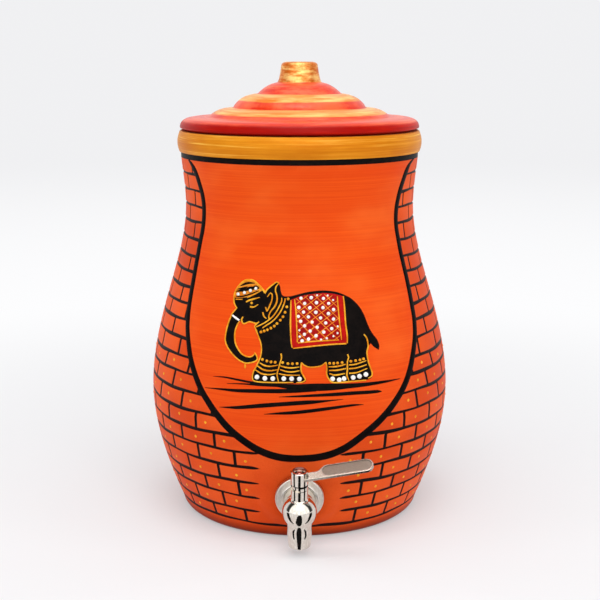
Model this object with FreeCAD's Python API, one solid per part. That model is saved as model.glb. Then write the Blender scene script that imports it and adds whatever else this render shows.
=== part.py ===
import FreeCAD, Part
import math
import os

# Clay water pot with a tap, in millimetres.
# The origin is the centre of the base, +Z is up and the tap faces -Y.

# The pot: outer radius at each station of the wall, its rise over the one below, and the slope dr/dz
foot_radius = 94.0
foot_edge_height = 8.0
foot_edge_radius = 101.4
foot_edge_slope = 0.42
foot_bow = 1.85
haunch_rise = 32.0
haunch_radius = 113.4
haunch_slope = 0.33
belly_rise = 63.0
belly_radius = 125.0
shoulder_rise = 75.0
shoulder_radius = 111.8
shoulder_slope = -0.29
waist_rise = 80.0
waist_radius = 94.5
ring_rise = 38.0
ring_radius = 97.7
ring_slope = 0.1
wall = 10.0
floor_thickness = 12.0
floor_corner = 9.0

# The painted collar round the mouth, above the black ring
ring_width = 4.5
collar_foot_radius = 98.6
collar_radius = 101.0
collar_bulge_rise = 9.0
collar_lip_radius = 97.6
collar_height = 16.8
rim_edge = 2.4

# The lid: each tier is a rounded step, from the edge inwards, and rises from the one before
lid_gap = 0.3
lid_radius = 99.0
lid_edge_height = 7.2
lid_edge_lift = 2.4
lid_edge_flare = 1.5
lid_edge_bow = 1.55
lid_bearing = 6.4
plate_radius = 91.5
plate_thickness = 10.7
plate_rise = 0.6
lower_tier_foot = 75.8
lower_tier_radius = 66.7
lower_tier_rise = 6.3
tier_slope = 1.6
tier_lean = 2.0
upper_tier_foot = 54.5
upper_tier_radius = 44.4
upper_tier_rise = 7.8
dome_foot = 34.0
dome_foot_rise = 2.2
dome_rise = 8.2
dome_lean = 3.0
dome_fall = 0.6
knob_foot_radius = 18.2
knob_waist_radius = 15.9
knob_waist_rise = 9.3
knob_top_radius = 15.1
knob_rise = 14.6
knob_edge = 2.0
knob_crown = 0.7
lid_skin = 8.0
spigot_clearance = 2.6
spigot_width = 8.0
spigot_depth = 9.0
spigot_taper = 1.2
ceiling_lift = 2.0

# The brickwork cut into the wall: the heights of the lines between its courses
course_heights = (
    11.9, 24.0, 37.1, 50.0, 63.5, 76.5, 89.8, 103.7, 118.1, 131.8, 143.7,
    157.9, 171.1, 183.9, 196.1, 208.3, 220.1, 233.7, 246.7, 258.9, 271.9, 284.8,
)
course_line_width = 1.7
course_line_depth = 0.8

# The plain arched panel in front of it: half widths and heights, from the ring down to its foot
panel_outline = (
    (87.5, 300.0), (79.8, 279.0), (73.8, 254.0), (75.0, 238.0), (85.2, 198.0),
    (88.5, 165.0), (77.3, 121.0), (50.0, 93.0), (32.0, 82.2), (0.0, 74.6),
)
plain_half_width = 31.0
plain_top = 80.0

# The flat that the tap is bolted to, and the hole through it
tap_height = 40.5
tap_tilt = 10.0
pad_press = 1.0
pad_radius = 26.0
pad_flare = 5.0
pad_depth = 8.0
pad_wall = 10.0
inner_pad_radius = 18.0
hole_clearance = 0.8

# The tap body, cast in one: shank, flange, barrel, bulb, neck and spout
shank_radius = 8.0
shank_past_nut = 4.0
shank_bore_radius = 4.8
flange_radius = 19.0
flange_thickness = 3.5
flange_edge = 1.2
flange_boss_radius = 15.0
barrel_radius = 12.7
barrel_flare = 2.2
tap_reach = 17.0
bulb_radius = 13.27
bulb_low = 7.0
spout_knee_radius = 9.45
spout_knee_height = -20.0
spout_knee_slope = 0.09
spout_radius = 8.75
spout_end = -29.5
spout_edge = 0.5
spout_bore_radius = 7.2
spout_bore_gap = 1.5
neck_radius = 6.55
neck_top = 23.1
neck_land_radius = 5.3
neck_land_top = 24.6
neck_root = 1.5

# The quarter turn rotor in the bulb, with its side port
rotor_radius = 6.5
running_clearance = 0.05
rotor_low = -8.0
ledge_height = 8.0
rotor_bore_radius = 4.5
rotor_bore_top = 4.2
port_radius = 3.4
stem_radius = 3.95
stem_square = 5.2
stem_washer_clearance = 0.15
stem_top = 31.0
thrust_thickness = 0.8
thrust_play = 0.1
thrust_edge_clearance = 0.2
groove_depth = 1.2
groove_width = 1.7
groove_heights = (13.2, 18.0)
ring_section = 0.61
seat_length = 5.0

# The handle: cap, lever and screw
cap_radius = 6.67
cap_low = 24.0
cap_top = 35.0
cap_edge = 0.5
cap_socket_radius = 5.65
square_clearance = 0.05
web_low = 31.2
dish_low = 32.6
dish_radius = 5.4
dish_floor_radius = 4.6
tab_low = 20.2
tab_floor_gap = 0.6
tab_angle = 52.0
stop_gap_angle = 3.0
handle_turn_angle = 90.0
screw_radius = 1.45
screw_hole_clearance = 0.15
screw_head_radius = 2.6
screw_head_height = 1.5
screw_length = 6.0
screw_tip_gap = 0.3
screw_head_side = 0.5
lever_root_height = 30.6
lever_rise = 10.0
lever_lean = 20.0
lever_end = 56.5
lever_half_width = 6.0
lever_thickness = 2.6
lever_neck_edge = 1.0
lever_neck_end = 12.5
lever_pad_start = 21.0
lever_sweep_reach = 3.8
lever_rim = 1.2
lever_recess = 0.5
lever_recess_start = 17.5
lever_edge = 0.4
tang_width = 4.0
tang_thickness = 1.8
tang_centre = -2.5
tang_reach = 4.4
tang_clearance = 0.05

# Seals and fixings on the shank
seal_bore_clearance = 0.3
outer_seal_radius = 16.5
outer_seal_thickness = 2.0
inner_seal_radius = 15.0
inner_seal_thickness = 3.0
washer_radius = 14.0
washer_thickness = 1.6
nut_across_flats = 24.0
nut_thickness = 8.0
nut_thread_clearance = 0.1
nut_chamfer = 1.1
top_washer_thickness = 0.8
top_washer_play = 0.1
top_washer_edge_clearance = 0.05

# How far a cutting shape runs past the face that it opens
cut_past = 1.0

X = FreeCAD.Vector(1, 0, 0)
Y = FreeCAD.Vector(0, 1, 0)
Z = FreeCAD.Vector(0, 0, 1)


def point(radius, height):
    """A point of a lathe profile, in the XZ plane."""
    return FreeCAD.Vector(radius, 0, height)


def line(start, end):
    return Part.LineSegment(point(*start), point(*end)).toShape()


def arc(start, middle, end):
    return Part.Arc(point(*start), point(*middle), point(*end)).toShape()


def corner_arc(start, corner, end):
    """A quarter round from start to end that bulges towards the corner."""
    bulge = math.sqrt(2) - 1
    middle = [(a + b) / 2 * (1 - bulge) + c * bulge for a, b, c in zip(start, end, corner)]
    return arc(start, middle, end)


def bowed_arc(start, end, bow):
    """An arc that stands out by bow, on the right of the way from start to end."""
    across = end[0] - start[0]
    rise = end[1] - start[1]
    length = math.hypot(across, rise)
    middle = (
        (start[0] + end[0]) / 2 + bow * rise / length,
        (start[1] + end[1]) / 2 - bow * across / length,
    )
    return arc(start, middle, end)


def dome_arc(radius, low, high):
    """A shallow round cap over the axis, from its edge at low to its crown at high."""
    rise = high - low
    sphere = (radius**2 + rise**2) / (2 * rise)
    half_angle = math.asin(radius / sphere) / 2
    middle = (sphere * math.sin(half_angle), high - sphere * (1 - math.cos(half_angle)))
    return arc((radius, low), middle, (0, high))


def slope_curve(lower, upper):
    """A cubic in which the radius is a function of height, with a set slope at each end."""
    (r0, z0, s0), (r1, z1, s1) = lower, upper
    third = (z1 - z0) / 3
    curve = Part.BezierCurve()
    curve.setPoles([
        point(r0, z0),
        point(r0 + s0 * third, z0 + third),
        point(r1 - s1 * third, z1 - third),
        point(r1, z1),
    ])
    return curve.toShape()


def slope_curve_radius(lower, upper, height):
    """The radius of slope_curve at a height."""
    (r0, z0, s0), (r1, z1, s1) = lower, upper
    span = z1 - z0
    t = (height - z0) / span
    start = 2 * t**3 - 3 * t**2 + 1
    leave = t**3 - 2 * t**2 + t
    arrive = t**3 - t**2
    return start * r0 + leave * span * s0 + (1 - start) * r1 + arrive * span * s1


def lathe(edges):
    """The solid that a closed profile in the XZ plane makes when it turns about Z."""
    wire = Part.Wire(Part.__sortEdges__(edges))
    face = Part.Face(wire)
    return face.revolve(FreeCAD.Vector(0, 0, 0), Z, 360)


def polygon_lathe(points):
    edges = [line(a, b) for a, b in zip(points, points[1:] + points[:1])]
    return lathe(edges)


def ring(inner, outer, low, high):
    """A plain ring about Z."""
    return polygon_lathe([(inner, low), (outer, low), (outer, high), (inner, high)])


def rod(radius, low, high):
    return Part.makeCylinder(radius, high - low, FreeCAD.Vector(0, 0, low), Z)


def along_shank(shape):
    """Turns a shape made about Z so that its +Z points into the pot, along +Y."""
    turned = shape.copy()
    turned.rotate(FreeCAD.Vector(0, 0, 0), X, -90)
    return turned


def on_tap_axis(shape):
    """Moves a shape made about Z onto the tap's upright axis."""
    moved = shape.copy()
    moved.translate(FreeCAD.Vector(0, -tap_axis_out, 0))
    return moved


def sector(inner, outer, low, high, from_angle, to_angle):
    """Part of a ring. Angles are counted from the front, -Y, towards +X."""
    block = ring(inner, outer, low, high)
    wedge = Part.makeCylinder(
        outer + cut_past, high - low, FreeCAD.Vector(0, 0, low), Z, to_angle - from_angle
    )
    wedge.rotate(FreeCAD.Vector(0, 0, 0), Z, from_angle - 90)
    return block.common(wedge)


# The heights of the wall's stations, each over the one below
haunch_height = foot_edge_height + haunch_rise
belly_height = haunch_height + belly_rise
shoulder_height = belly_height + shoulder_rise
waist_height = shoulder_height + waist_rise
ring_height = waist_height + ring_rise
ring_top = ring_height + ring_width
rim_height = ring_top + collar_height

# The stations of the wall, used for its outside and, a wall thinner, for its inside
stations = [
    (foot_edge_radius, foot_edge_height, foot_edge_slope),
    (haunch_radius, haunch_height, haunch_slope),
    (belly_radius, belly_height, 0.0),
    (shoulder_radius, shoulder_height, shoulder_slope),
    (waist_radius, waist_height, 0.0),
    (ring_radius, ring_height, ring_slope),
]


def wall_radius(height):
    """The outer radius of the pot at a height between the first and last station."""
    for lower, upper in zip(stations, stations[1:]):
        if lower[1] <= height <= upper[1]:
            return slope_curve_radius(lower, upper, height)
    raise ValueError("this height is outside the wall")


# Places that follow from the sizes
tap_axis_out = outer_seal_thickness + flange_thickness + tap_reach
washer_start = pad_wall + inner_seal_thickness
nut_start = washer_start + washer_thickness
shank_end = nut_start + nut_thickness + shank_past_nut
pad_out = wall_radius(tap_height) - pad_press
mouth_radius = collar_lip_radius - wall
valve_bore = rotor_radius + running_clearance
stem_bore = stem_radius + running_clearance
spout_bore_top = rotor_low - spout_bore_gap
lid_bed = rim_height + lid_gap
lid_land_radius = mouth_radius + lid_bearing
plate_height = lid_bed + plate_thickness
lower_tier_foot_height = plate_height + plate_rise
lower_tier_height = lower_tier_foot_height + lower_tier_rise
upper_tier_foot_height = lower_tier_height + tier_slope
upper_tier_height = upper_tier_foot_height + upper_tier_rise
dome_foot_height = upper_tier_height + dome_foot_rise
dome_height = dome_foot_height + dome_rise
knob_shoulder_height = dome_height + knob_rise
knob_edge_height = knob_shoulder_height + knob_edge
knob_height = knob_edge_height + knob_crown
rotor_top = ledge_height - thrust_play - thrust_thickness
socket_roof = neck_land_top + top_washer_thickness + top_washer_play
tab_floor = tab_low - tab_floor_gap

tap_place = FreeCAD.Placement(
    FreeCAD.Vector(0, -pad_out, tap_height), FreeCAD.Rotation(X, tap_tilt)
)


def place_on_pot(shape):
    """Takes a shape from the tap's own frame to the pot's."""
    placed = shape.copy()
    placed.Placement = tap_place.multiply(placed.Placement)
    return placed


def pot_outside():
    """The solid outline of the pot, from its flat foot to the rim."""
    rim_round = collar_lip_radius - rim_edge
    edges = [slope_curve(a, b) for a, b in zip(stations, stations[1:])]
    edges += [
        line((0, 0), (foot_radius, 0)),
        bowed_arc((foot_radius, 0), (foot_edge_radius, foot_edge_height), foot_bow),
        line((ring_radius, ring_height), (ring_radius, ring_top)),
        line((ring_radius, ring_top), (collar_foot_radius, ring_top)),
        arc(
            (collar_foot_radius, ring_top),
            (collar_radius, ring_top + collar_bulge_rise),
            (collar_lip_radius, rim_height - rim_edge),
        ),
        corner_arc(
            (collar_lip_radius, rim_height - rim_edge),
            (collar_lip_radius, rim_height),
            (rim_round, rim_height),
        ),
        line((rim_round, rim_height), (0, rim_height)),
        line((0, rim_height), (0, 0)),
    ]
    return lathe(edges)


def pot_inside():
    """The space inside the wall, open through the mouth."""
    floor_edge = floor_thickness + floor_corner
    inner = [(r - wall, z, s) for r, z, s in stations]
    first = (wall_radius(floor_edge) - wall, floor_edge, foot_edge_slope)
    edges = [slope_curve(a, b) for a, b in zip([first] + inner[1:], inner[1:])]
    edges += [
        line((0, floor_thickness), (first[0] - floor_corner, floor_thickness)),
        corner_arc(
            (first[0] - floor_corner, floor_thickness),
            (first[0], floor_thickness),
            (first[0], floor_edge),
        ),
        line((inner[-1][0], ring_height), (mouth_radius, ring_height + wall)),
        line((mouth_radius, ring_height + wall), (mouth_radius, rim_height + wall)),
        line((mouth_radius, rim_height + wall), (0, rim_height + wall)),
        line((0, rim_height + wall), (0, floor_thickness)),
    ]
    return lathe(edges)


def pad_parts():
    """What the tap's flat adds to the wall, and what it takes from it."""
    back = pad_depth
    outer_boss = Part.makeCone(pad_radius, pad_radius + pad_flare, back, FreeCAD.Vector(0, 0, 0), Z)
    inner_boss = rod(inner_pad_radius, 0, pad_wall)
    outer_cut = Part.makeCone(
        pad_radius + pad_flare * 2, pad_radius, back, FreeCAD.Vector(0, 0, -back), Z
    )
    inner_cut = rod(inner_pad_radius, pad_wall, pad_wall + wall)
    hole = rod(shank_radius + hole_clearance, -wall, pad_wall + wall)
    added = outer_boss.fuse(inner_boss)
    removed = outer_cut.fuse(inner_cut).fuse(hole)
    return place_on_pot(along_shank(added)), place_on_pot(along_shank(removed))


def plain_front():
    """The front of the pot that has no bricks: the arched panel, and the stretch behind the tap."""
    half = [FreeCAD.Vector(x, 0, z) for x, z in panel_outline]
    mirrored = [FreeCAD.Vector(-p.x, 0, p.z) for p in reversed(half[:-1])]
    outline = Part.BSplineCurve()
    outline.interpolate(half + mirrored)
    top = Part.LineSegment(mirrored[-1], half[0])
    face = Part.Face(Part.Wire([outline.toShape(), top.toShape()]))
    panel = face.extrude(Y * -2 * belly_radius)
    low = (course_heights[0] + course_heights[1]) / 2
    stretch = Part.makeBox(
        2 * plain_half_width,
        2 * belly_radius,
        plain_top - low,
        FreeCAD.Vector(-plain_half_width, -2 * belly_radius, low),
    )
    return panel.fuse(stretch)


def course_lines():
    """The lines between the courses, each a V cut round the wall, broken off at the plain front."""
    plain = plain_front()
    lines = []
    for height in course_heights:
        if height + course_line_width > ring_height:
            break
        skin = wall_radius(height)
        half = course_line_width / 2 * (course_line_depth + cut_past) / course_line_depth
        line = polygon_lathe([
            (skin - course_line_depth, height),
            (skin + cut_past, height - half),
            (skin + cut_past, height + half),
        ])
        lines.append(line.cut(plain))
    return lines


def clay_pot():
    added, removed = pad_parts()
    shell = pot_outside().cut(pot_inside())
    pot = shell.fuse(added).cut(removed).removeSplitter()
    return pot.cut(course_lines())


def clay_lid():
    """The domed lid with its knob, hollow below, with a spigot that drops into the mouth."""
    edge_low = lid_bed + lid_edge_lift
    spigot_outer = mouth_radius - spigot_clearance
    spigot_inner = spigot_outer - spigot_width
    half_edge = edge_low + lid_edge_height / 2
    edge_foot = lid_land_radius + lid_edge_flare
    top = [
        line((lid_land_radius, lid_bed), (edge_foot, edge_low)),
        corner_arc((edge_foot, edge_low), (lid_radius, edge_low), (lid_radius, half_edge)),
        bowed_arc((lid_radius, half_edge), (plate_radius, plate_height), lid_edge_bow),
        line((plate_radius, plate_height), (lower_tier_foot, lower_tier_foot_height)),
        corner_arc(
            (lower_tier_foot, lower_tier_foot_height),
            (lower_tier_foot - tier_lean, lower_tier_height),
            (lower_tier_radius, lower_tier_height),
        ),
        line((lower_tier_radius, lower_tier_height), (upper_tier_foot, upper_tier_foot_height)),
        corner_arc(
            (upper_tier_foot, upper_tier_foot_height),
            (upper_tier_foot - tier_lean, upper_tier_height),
            (upper_tier_radius, upper_tier_height),
        ),
        line((upper_tier_radius, upper_tier_height), (dome_foot, dome_foot_height)),
        corner_arc(
            (dome_foot, dome_foot_height),
            (dome_foot - dome_lean, dome_height - dome_fall),
            (knob_foot_radius, dome_height),
        ),
        arc(
            (knob_foot_radius, dome_height),
            (knob_waist_radius, dome_height + knob_waist_rise),
            (knob_top_radius, knob_shoulder_height),
        ),
        corner_arc(
            (knob_top_radius, knob_shoulder_height),
            (knob_top_radius, knob_edge_height),
            (knob_top_radius - knob_edge, knob_edge_height),
        ),
        dome_arc(knob_top_radius - knob_edge, knob_edge_height, knob_height),
    ]
    ceiling = [
        (spigot_inner, lid_bed + ceiling_lift),
        (lower_tier_radius - lid_skin, lower_tier_height - lid_skin),
        (upper_tier_radius - lid_skin, upper_tier_height - lid_skin),
        (knob_foot_radius - lid_skin / 2, dome_height - lid_skin),
        (0, dome_height - lid_skin),
    ]
    spigot_low = lid_bed - spigot_depth
    below = [
        line((lid_land_radius, lid_bed), (spigot_outer, lid_bed)),
        line((spigot_outer, lid_bed), (spigot_outer - spigot_taper, spigot_low)),
        line((spigot_outer - spigot_taper, spigot_low), (spigot_inner, spigot_low)),
        line((spigot_inner, spigot_low), ceiling[0]),
    ]
    below += [line(a, b) for a, b in zip(ceiling, ceiling[1:])]
    below += [line(ceiling[-1], (0, knob_height))]
    return lathe(top + below)


def flange_and_barrel():
    """The round flange and the barrel that leads out of it to the bulb."""
    back = outer_seal_thickness
    front = back + flange_thickness
    edges = [
        line((0, back), (flange_radius, back)),
        line((flange_radius, back), (flange_radius, front - flange_edge)),
        corner_arc(
            (flange_radius, front - flange_edge),
            (flange_radius, front),
            (flange_radius - flange_edge, front),
        ),
        line((flange_radius - flange_edge, front), (flange_boss_radius, front)),
        corner_arc(
            (flange_boss_radius, front),
            (barrel_radius, front),
            (barrel_radius, front + barrel_flare),
        ),
        line((barrel_radius, front + barrel_flare), (barrel_radius, tap_axis_out)),
        line((barrel_radius, tap_axis_out), (0, tap_axis_out)),
        line((0, tap_axis_out), (0, back)),
    ]
    turned = lathe(edges)
    turned.rotate(FreeCAD.Vector(0, 0, 0), X, 90)
    return turned


def bulb_and_spout():
    """The upright body: neck, round bulb and the spout that narrows below it."""
    low_radius = math.sqrt(bulb_radius**2 - bulb_low**2)
    neck_meets = math.sqrt(bulb_radius**2 - (neck_radius + neck_root) ** 2)
    low = (low_radius, -bulb_low, bulb_low / low_radius)
    knee = (spout_knee_radius, spout_knee_height, spout_knee_slope)
    edges = [
        line((0, spout_end), (spout_radius - spout_edge, spout_end)),
        corner_arc(
            (spout_radius - spout_edge, spout_end),
            (spout_radius, spout_end),
            (spout_radius, spout_end + spout_edge),
        ),
        line((spout_radius, spout_end + spout_edge), knee[:2]),
        slope_curve(knee, low),
        arc(low[:2], (bulb_radius, 0), (neck_radius + neck_root, neck_meets)),
        corner_arc(
            (neck_radius + neck_root, neck_meets),
            (neck_radius, neck_meets),
            (neck_radius, neck_meets + neck_root),
        ),
        line((neck_radius, neck_meets + neck_root), (neck_radius, neck_top)),
        line((neck_radius, neck_top), (neck_land_radius, neck_top)),
        line((neck_land_radius, neck_top), (neck_land_radius, neck_land_top)),
        line((neck_land_radius, neck_land_top), (0, neck_land_top)),
        line((0, neck_land_top), (0, spout_end)),
    ]
    return lathe(edges)


def tap_body():
    """One casting. The rebate in the neck leaves the lug that the handle's tab stops against."""
    upright = bulb_and_spout()
    rebate = sector(
        neck_land_radius,
        neck_radius + cut_past,
        tab_floor,
        neck_top,
        -handle_turn_angle - stop_gap_angle,
        tab_angle + stop_gap_angle,
    )
    shank = along_shank(rod(shank_radius, -outer_seal_thickness, shank_end))
    body = on_tap_axis(upright.cut(rebate)).fuse(flange_and_barrel()).fuse(shank)
    body = body.removeSplitter()
    outlet = rod(spout_bore_radius, spout_end - cut_past, spout_bore_top)
    valve = rod(valve_bore, spout_bore_top, ledge_height)
    stem = rod(stem_bore, ledge_height, neck_land_top + cut_past)
    inlet = along_shank(rod(shank_bore_radius, -tap_axis_out, shank_end + cut_past))
    return body.cut(on_tap_axis(outlet.fuse(valve).fuse(stem))).cut(inlet)


def valve_rotor():
    """A plug, hollow below, whose side port faces the inlet when the handle is turned out."""
    half = stem_square / 2
    plug = rod(rotor_radius, rotor_low, rotor_top)
    stem = rod(stem_radius, rotor_top, socket_roof)
    square = Part.makeBox(
        stem_square, stem_square, stem_top - socket_roof, FreeCAD.Vector(-half, -half, socket_roof)
    )
    bore = rod(rotor_bore_radius, rotor_low, rotor_bore_top)
    port = Part.makeCylinder(port_radius, rotor_radius + cut_past, FreeCAD.Vector(0, 0, 0), -X)
    screw_hole = rod(screw_radius, stem_top - screw_length, stem_top)
    rotor = plug.fuse(stem).fuse(square).removeSplitter()
    for height in groove_heights:
        groove = ring(
            stem_radius - groove_depth,
            stem_radius + cut_past,
            height - groove_width / 2,
            height + groove_width / 2,
        )
        rotor = rotor.cut(groove)
    return on_tap_axis(rotor.cut(bore).cut(port).cut(screw_hole))


def stem_ring(height):
    """A rubber ring in one of the stem's grooves."""
    middle = stem_radius - groove_depth + ring_section
    return on_tap_axis(Part.makeTorus(middle, ring_section, FreeCAD.Vector(0, 0, height), Z))


def thrust_washer():
    inner = stem_radius + stem_washer_clearance
    outer = rotor_radius - thrust_edge_clearance
    return on_tap_axis(ring(inner, outer, rotor_top, rotor_top + thrust_thickness))


def inlet_seat():
    """The sleeve in the inlet, hollowed at its end to the round of the rotor."""
    start = -tap_axis_out + valve_bore
    sleeve = rod(shank_bore_radius, -tap_axis_out, start + seat_length)
    sleeve = sleeve.cut(rod(port_radius, -tap_axis_out - cut_past, shank_end))
    rotor_space = on_tap_axis(rod(valve_bore, rotor_low, ledge_height))
    return along_shank(sleeve).cut(rotor_space)


def top_washer():
    """The nylon washer on the neck, under the cap."""
    inner = stem_radius + stem_washer_clearance
    outer = neck_land_radius - top_washer_edge_clearance
    return on_tap_axis(ring(inner, outer, neck_land_top, neck_land_top + top_washer_thickness))


def lever_frame():
    """The lever's own frame: along its length, across it, and out of its face."""
    lean = FreeCAD.Rotation(X, lever_lean)
    rise = FreeCAD.Rotation(Y, -lever_rise)
    return FreeCAD.Placement(FreeCAD.Vector(0, 0, lever_root_height), rise.multiply(lean))


def lever_tip(half):
    """The three points of the round that ends an outline of that half width on the lever."""
    centre = lever_end - lever_half_width
    top = FreeCAD.Vector(centre, half, 0)
    tip = FreeCAD.Vector(centre + half, 0, 0)
    low = FreeCAD.Vector(centre, -half, 0)
    return top, tip, low


def lever_pocket():
    """The shallow field inside the lever's raised rim, round at both ends."""
    half = lever_half_width - lever_rim
    top, tip, low = lever_tip(half)
    back_top = FreeCAD.Vector(lever_recess_start + half, half, 0)
    back = FreeCAD.Vector(lever_recess_start, 0, 0)
    back_low = FreeCAD.Vector(lever_recess_start + half, -half, 0)
    wire = Part.Wire([
        Part.LineSegment(back_top, top).toShape(),
        Part.Arc(top, tip, low).toShape(),
        Part.LineSegment(low, back_low).toShape(),
        Part.Arc(back_low, back, back_top).toShape(),
    ])
    return Part.Face(wire)


def lever_blank():
    """The lever's outline: a narrow neck at the cap that widens along one edge to the pad."""
    half = lever_half_width
    top, tip, low = lever_tip(half)
    root_low = FreeCAD.Vector(0, -half, 0)
    root_top = FreeCAD.Vector(0, lever_neck_edge, 0)
    neck = FreeCAD.Vector(lever_neck_end, lever_neck_edge, 0)
    pad = FreeCAD.Vector(lever_pad_start, half, 0)
    sweep = Part.BezierCurve()
    sweep.setPoles([neck, neck + X * lever_sweep_reach, pad - X * lever_sweep_reach, pad])
    wire = Part.Wire([
        Part.LineSegment(root_low, root_top).toShape(),
        Part.LineSegment(root_top, neck).toShape(),
        sweep.toShape(),
        Part.LineSegment(pad, top).toShape(),
        Part.Arc(top, tip, low).toShape(),
        Part.LineSegment(low, root_low).toShape(),
    ])
    return Part.Face(wire)


def lever_tang(clearance):
    """The tongue that seats the lever in the cap, or its slot with a clearance."""
    width = tang_width + 2 * clearance
    thick = tang_thickness + 2 * clearance
    start = tang_reach - clearance
    block = Part.makeBox(
        cap_radius + cut_past - start,
        width,
        thick,
        FreeCAD.Vector(start, tang_centre - width / 2, -thick / 2),
    )
    block.Placement = lever_frame()
    return block


def handle_lever():
    thickness = FreeCAD.Vector(0, 0, lever_thickness)
    blade = lever_blank().extrude(thickness)
    blade.translate(FreeCAD.Vector(0, 0, -lever_thickness / 2))
    straight = [
        edge for edge in blade.Edges
        if abs(edge.BoundBox.ZLength) < 1e-6 and edge.BoundBox.XMax > lever_neck_end / 2
    ]
    blade = blade.makeFillet(lever_edge, straight)
    pocket = lever_pocket().extrude(thickness)
    pocket.translate(FreeCAD.Vector(0, 0, lever_thickness / 2 - lever_recess))
    blade = blade.cut(pocket)
    blade.Placement = lever_frame()
    blade = blade.cut(rod(cap_radius, cap_low - lever_half_width, cap_top + lever_half_width))
    return on_tap_axis(blade.fuse(lever_tang(0)).removeSplitter())


def handle_cap():
    """The round cap on the rotor's square, with the tab that runs in the neck's rebate."""
    outside = [
        (0, cap_low),
        (cap_radius, cap_low),
        (cap_radius, cap_top - cap_edge),
        (cap_radius - cap_edge, cap_top),
        (0, cap_top),
    ]
    cap = polygon_lathe(outside)
    tab = sector(cap_socket_radius, cap_radius, tab_low, cap_low + cut_past, 0, tab_angle)
    socket = rod(cap_socket_radius, cap_low - cut_past, socket_roof)
    side = stem_square + 2 * square_clearance
    square = Part.makeBox(
        side, side, web_low - socket_roof, FreeCAD.Vector(-side / 2, -side / 2, socket_roof)
    )
    screw_way = rod(screw_radius + screw_hole_clearance, web_low, dish_low)
    dish = Part.makeCone(
        dish_floor_radius, dish_radius, cap_top - dish_low, FreeCAD.Vector(0, 0, dish_low), Z
    )
    cap = cap.cut(socket).fuse(tab).removeSplitter()
    cap = cap.cut(square).cut(screw_way).cut(dish).cut(lever_tang(tang_clearance))
    return on_tap_axis(cap)


def handle_screw():
    """The domed screw that holds the cap down on the stem."""
    tip = stem_top - screw_length + screw_tip_gap
    shoulder = dish_low + screw_head_side
    crown = dish_low + screw_head_height
    edges = [
        line((0, tip), (screw_radius, tip)),
        line((screw_radius, tip), (screw_radius, dish_low)),
        line((screw_radius, dish_low), (screw_head_radius, dish_low)),
        line((screw_head_radius, dish_low), (screw_head_radius, shoulder)),
        dome_arc(screw_head_radius, shoulder, crown),
        line((0, crown), (0, tip)),
    ]
    return on_tap_axis(lathe(edges))


def shank_ring(outer, start, thickness):
    """A seal or washer on the shank, inside or outside the wall."""
    bore = shank_radius + seal_bore_clearance
    return along_shank(ring(bore, outer, start, start + thickness))


def lock_nut():
    """A hexagon nut with both ends chamfered."""
    corner = nut_across_flats / math.sqrt(3)
    points = [
        FreeCAD.Vector(
            corner * math.cos(math.radians(60 * i)), corner * math.sin(math.radians(60 * i)), nut_start
        )
        for i in range(7)
    ]
    hexagon = Part.Face(Part.makePolygon(points)).extrude(FreeCAD.Vector(0, 0, nut_thickness))
    bore = shank_radius + nut_thread_clearance
    outline = polygon_lathe([
        (bore, nut_start),
        (nut_across_flats / 2, nut_start),
        (corner, nut_start + nut_chamfer),
        (corner, nut_start + nut_thickness - nut_chamfer),
        (nut_across_flats / 2, nut_start + nut_thickness),
        (bore, nut_start + nut_thickness),
    ])
    return along_shank(hexagon.common(outline))


def tap_pieces():
    """The tap's pieces in the tap's own frame, by name."""
    pieces = {
        "tap_body": tap_body(),
        "outer_seal": shank_ring(outer_seal_radius, -outer_seal_thickness, outer_seal_thickness),
        "inner_seal": shank_ring(inner_seal_radius, pad_wall, inner_seal_thickness),
        "flat_washer": shank_ring(washer_radius, washer_start, washer_thickness),
        "lock_nut": lock_nut(),
        "inlet_seat": inlet_seat(),
        "valve_rotor": valve_rotor(),
        "thrust_washer": thrust_washer(),
        "top_washer": top_washer(),
        "handle_cap": handle_cap(),
        "handle_lever": handle_lever(),
        "handle_screw": handle_screw(),
    }
    for name, height in zip(("lower_stem_ring", "upper_stem_ring"), groove_heights):
        pieces[name] = stem_ring(height)
    return pieces


def main():
    os.makedirs("parts", exist_ok=True)
    pieces = {"clay_pot": clay_pot(), "clay_lid": clay_lid()}
    for name, shape in tap_pieces().items():
        pieces[name] = place_on_pot(shape)
    for name, shape in pieces.items():
        shape.exportStep("parts/" + name + ".step")
        print(name, "solids", len(shape.Solids), "valid", shape.isValid(), "volume", round(shape.Volume))


main()
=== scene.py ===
import math

import bpy
import numpy as np
from mathutils import Matrix, Vector


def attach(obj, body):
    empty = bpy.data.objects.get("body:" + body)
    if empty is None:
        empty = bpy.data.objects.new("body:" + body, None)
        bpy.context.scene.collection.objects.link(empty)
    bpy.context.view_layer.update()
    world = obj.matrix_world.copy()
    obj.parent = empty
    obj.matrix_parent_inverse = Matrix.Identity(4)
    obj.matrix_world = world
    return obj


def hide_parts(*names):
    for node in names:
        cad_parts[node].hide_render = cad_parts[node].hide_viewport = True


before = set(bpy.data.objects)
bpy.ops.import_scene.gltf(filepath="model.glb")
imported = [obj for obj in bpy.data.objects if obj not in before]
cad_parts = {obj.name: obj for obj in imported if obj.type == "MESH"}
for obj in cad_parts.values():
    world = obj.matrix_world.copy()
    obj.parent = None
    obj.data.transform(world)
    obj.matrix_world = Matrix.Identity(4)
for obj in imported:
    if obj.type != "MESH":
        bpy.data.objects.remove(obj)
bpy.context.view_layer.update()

# Clay water pot with a tap, in metres. +Z is up and the tap faces -Y.
# Azimuths are counted from the front, -Y, towards +X.

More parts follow.
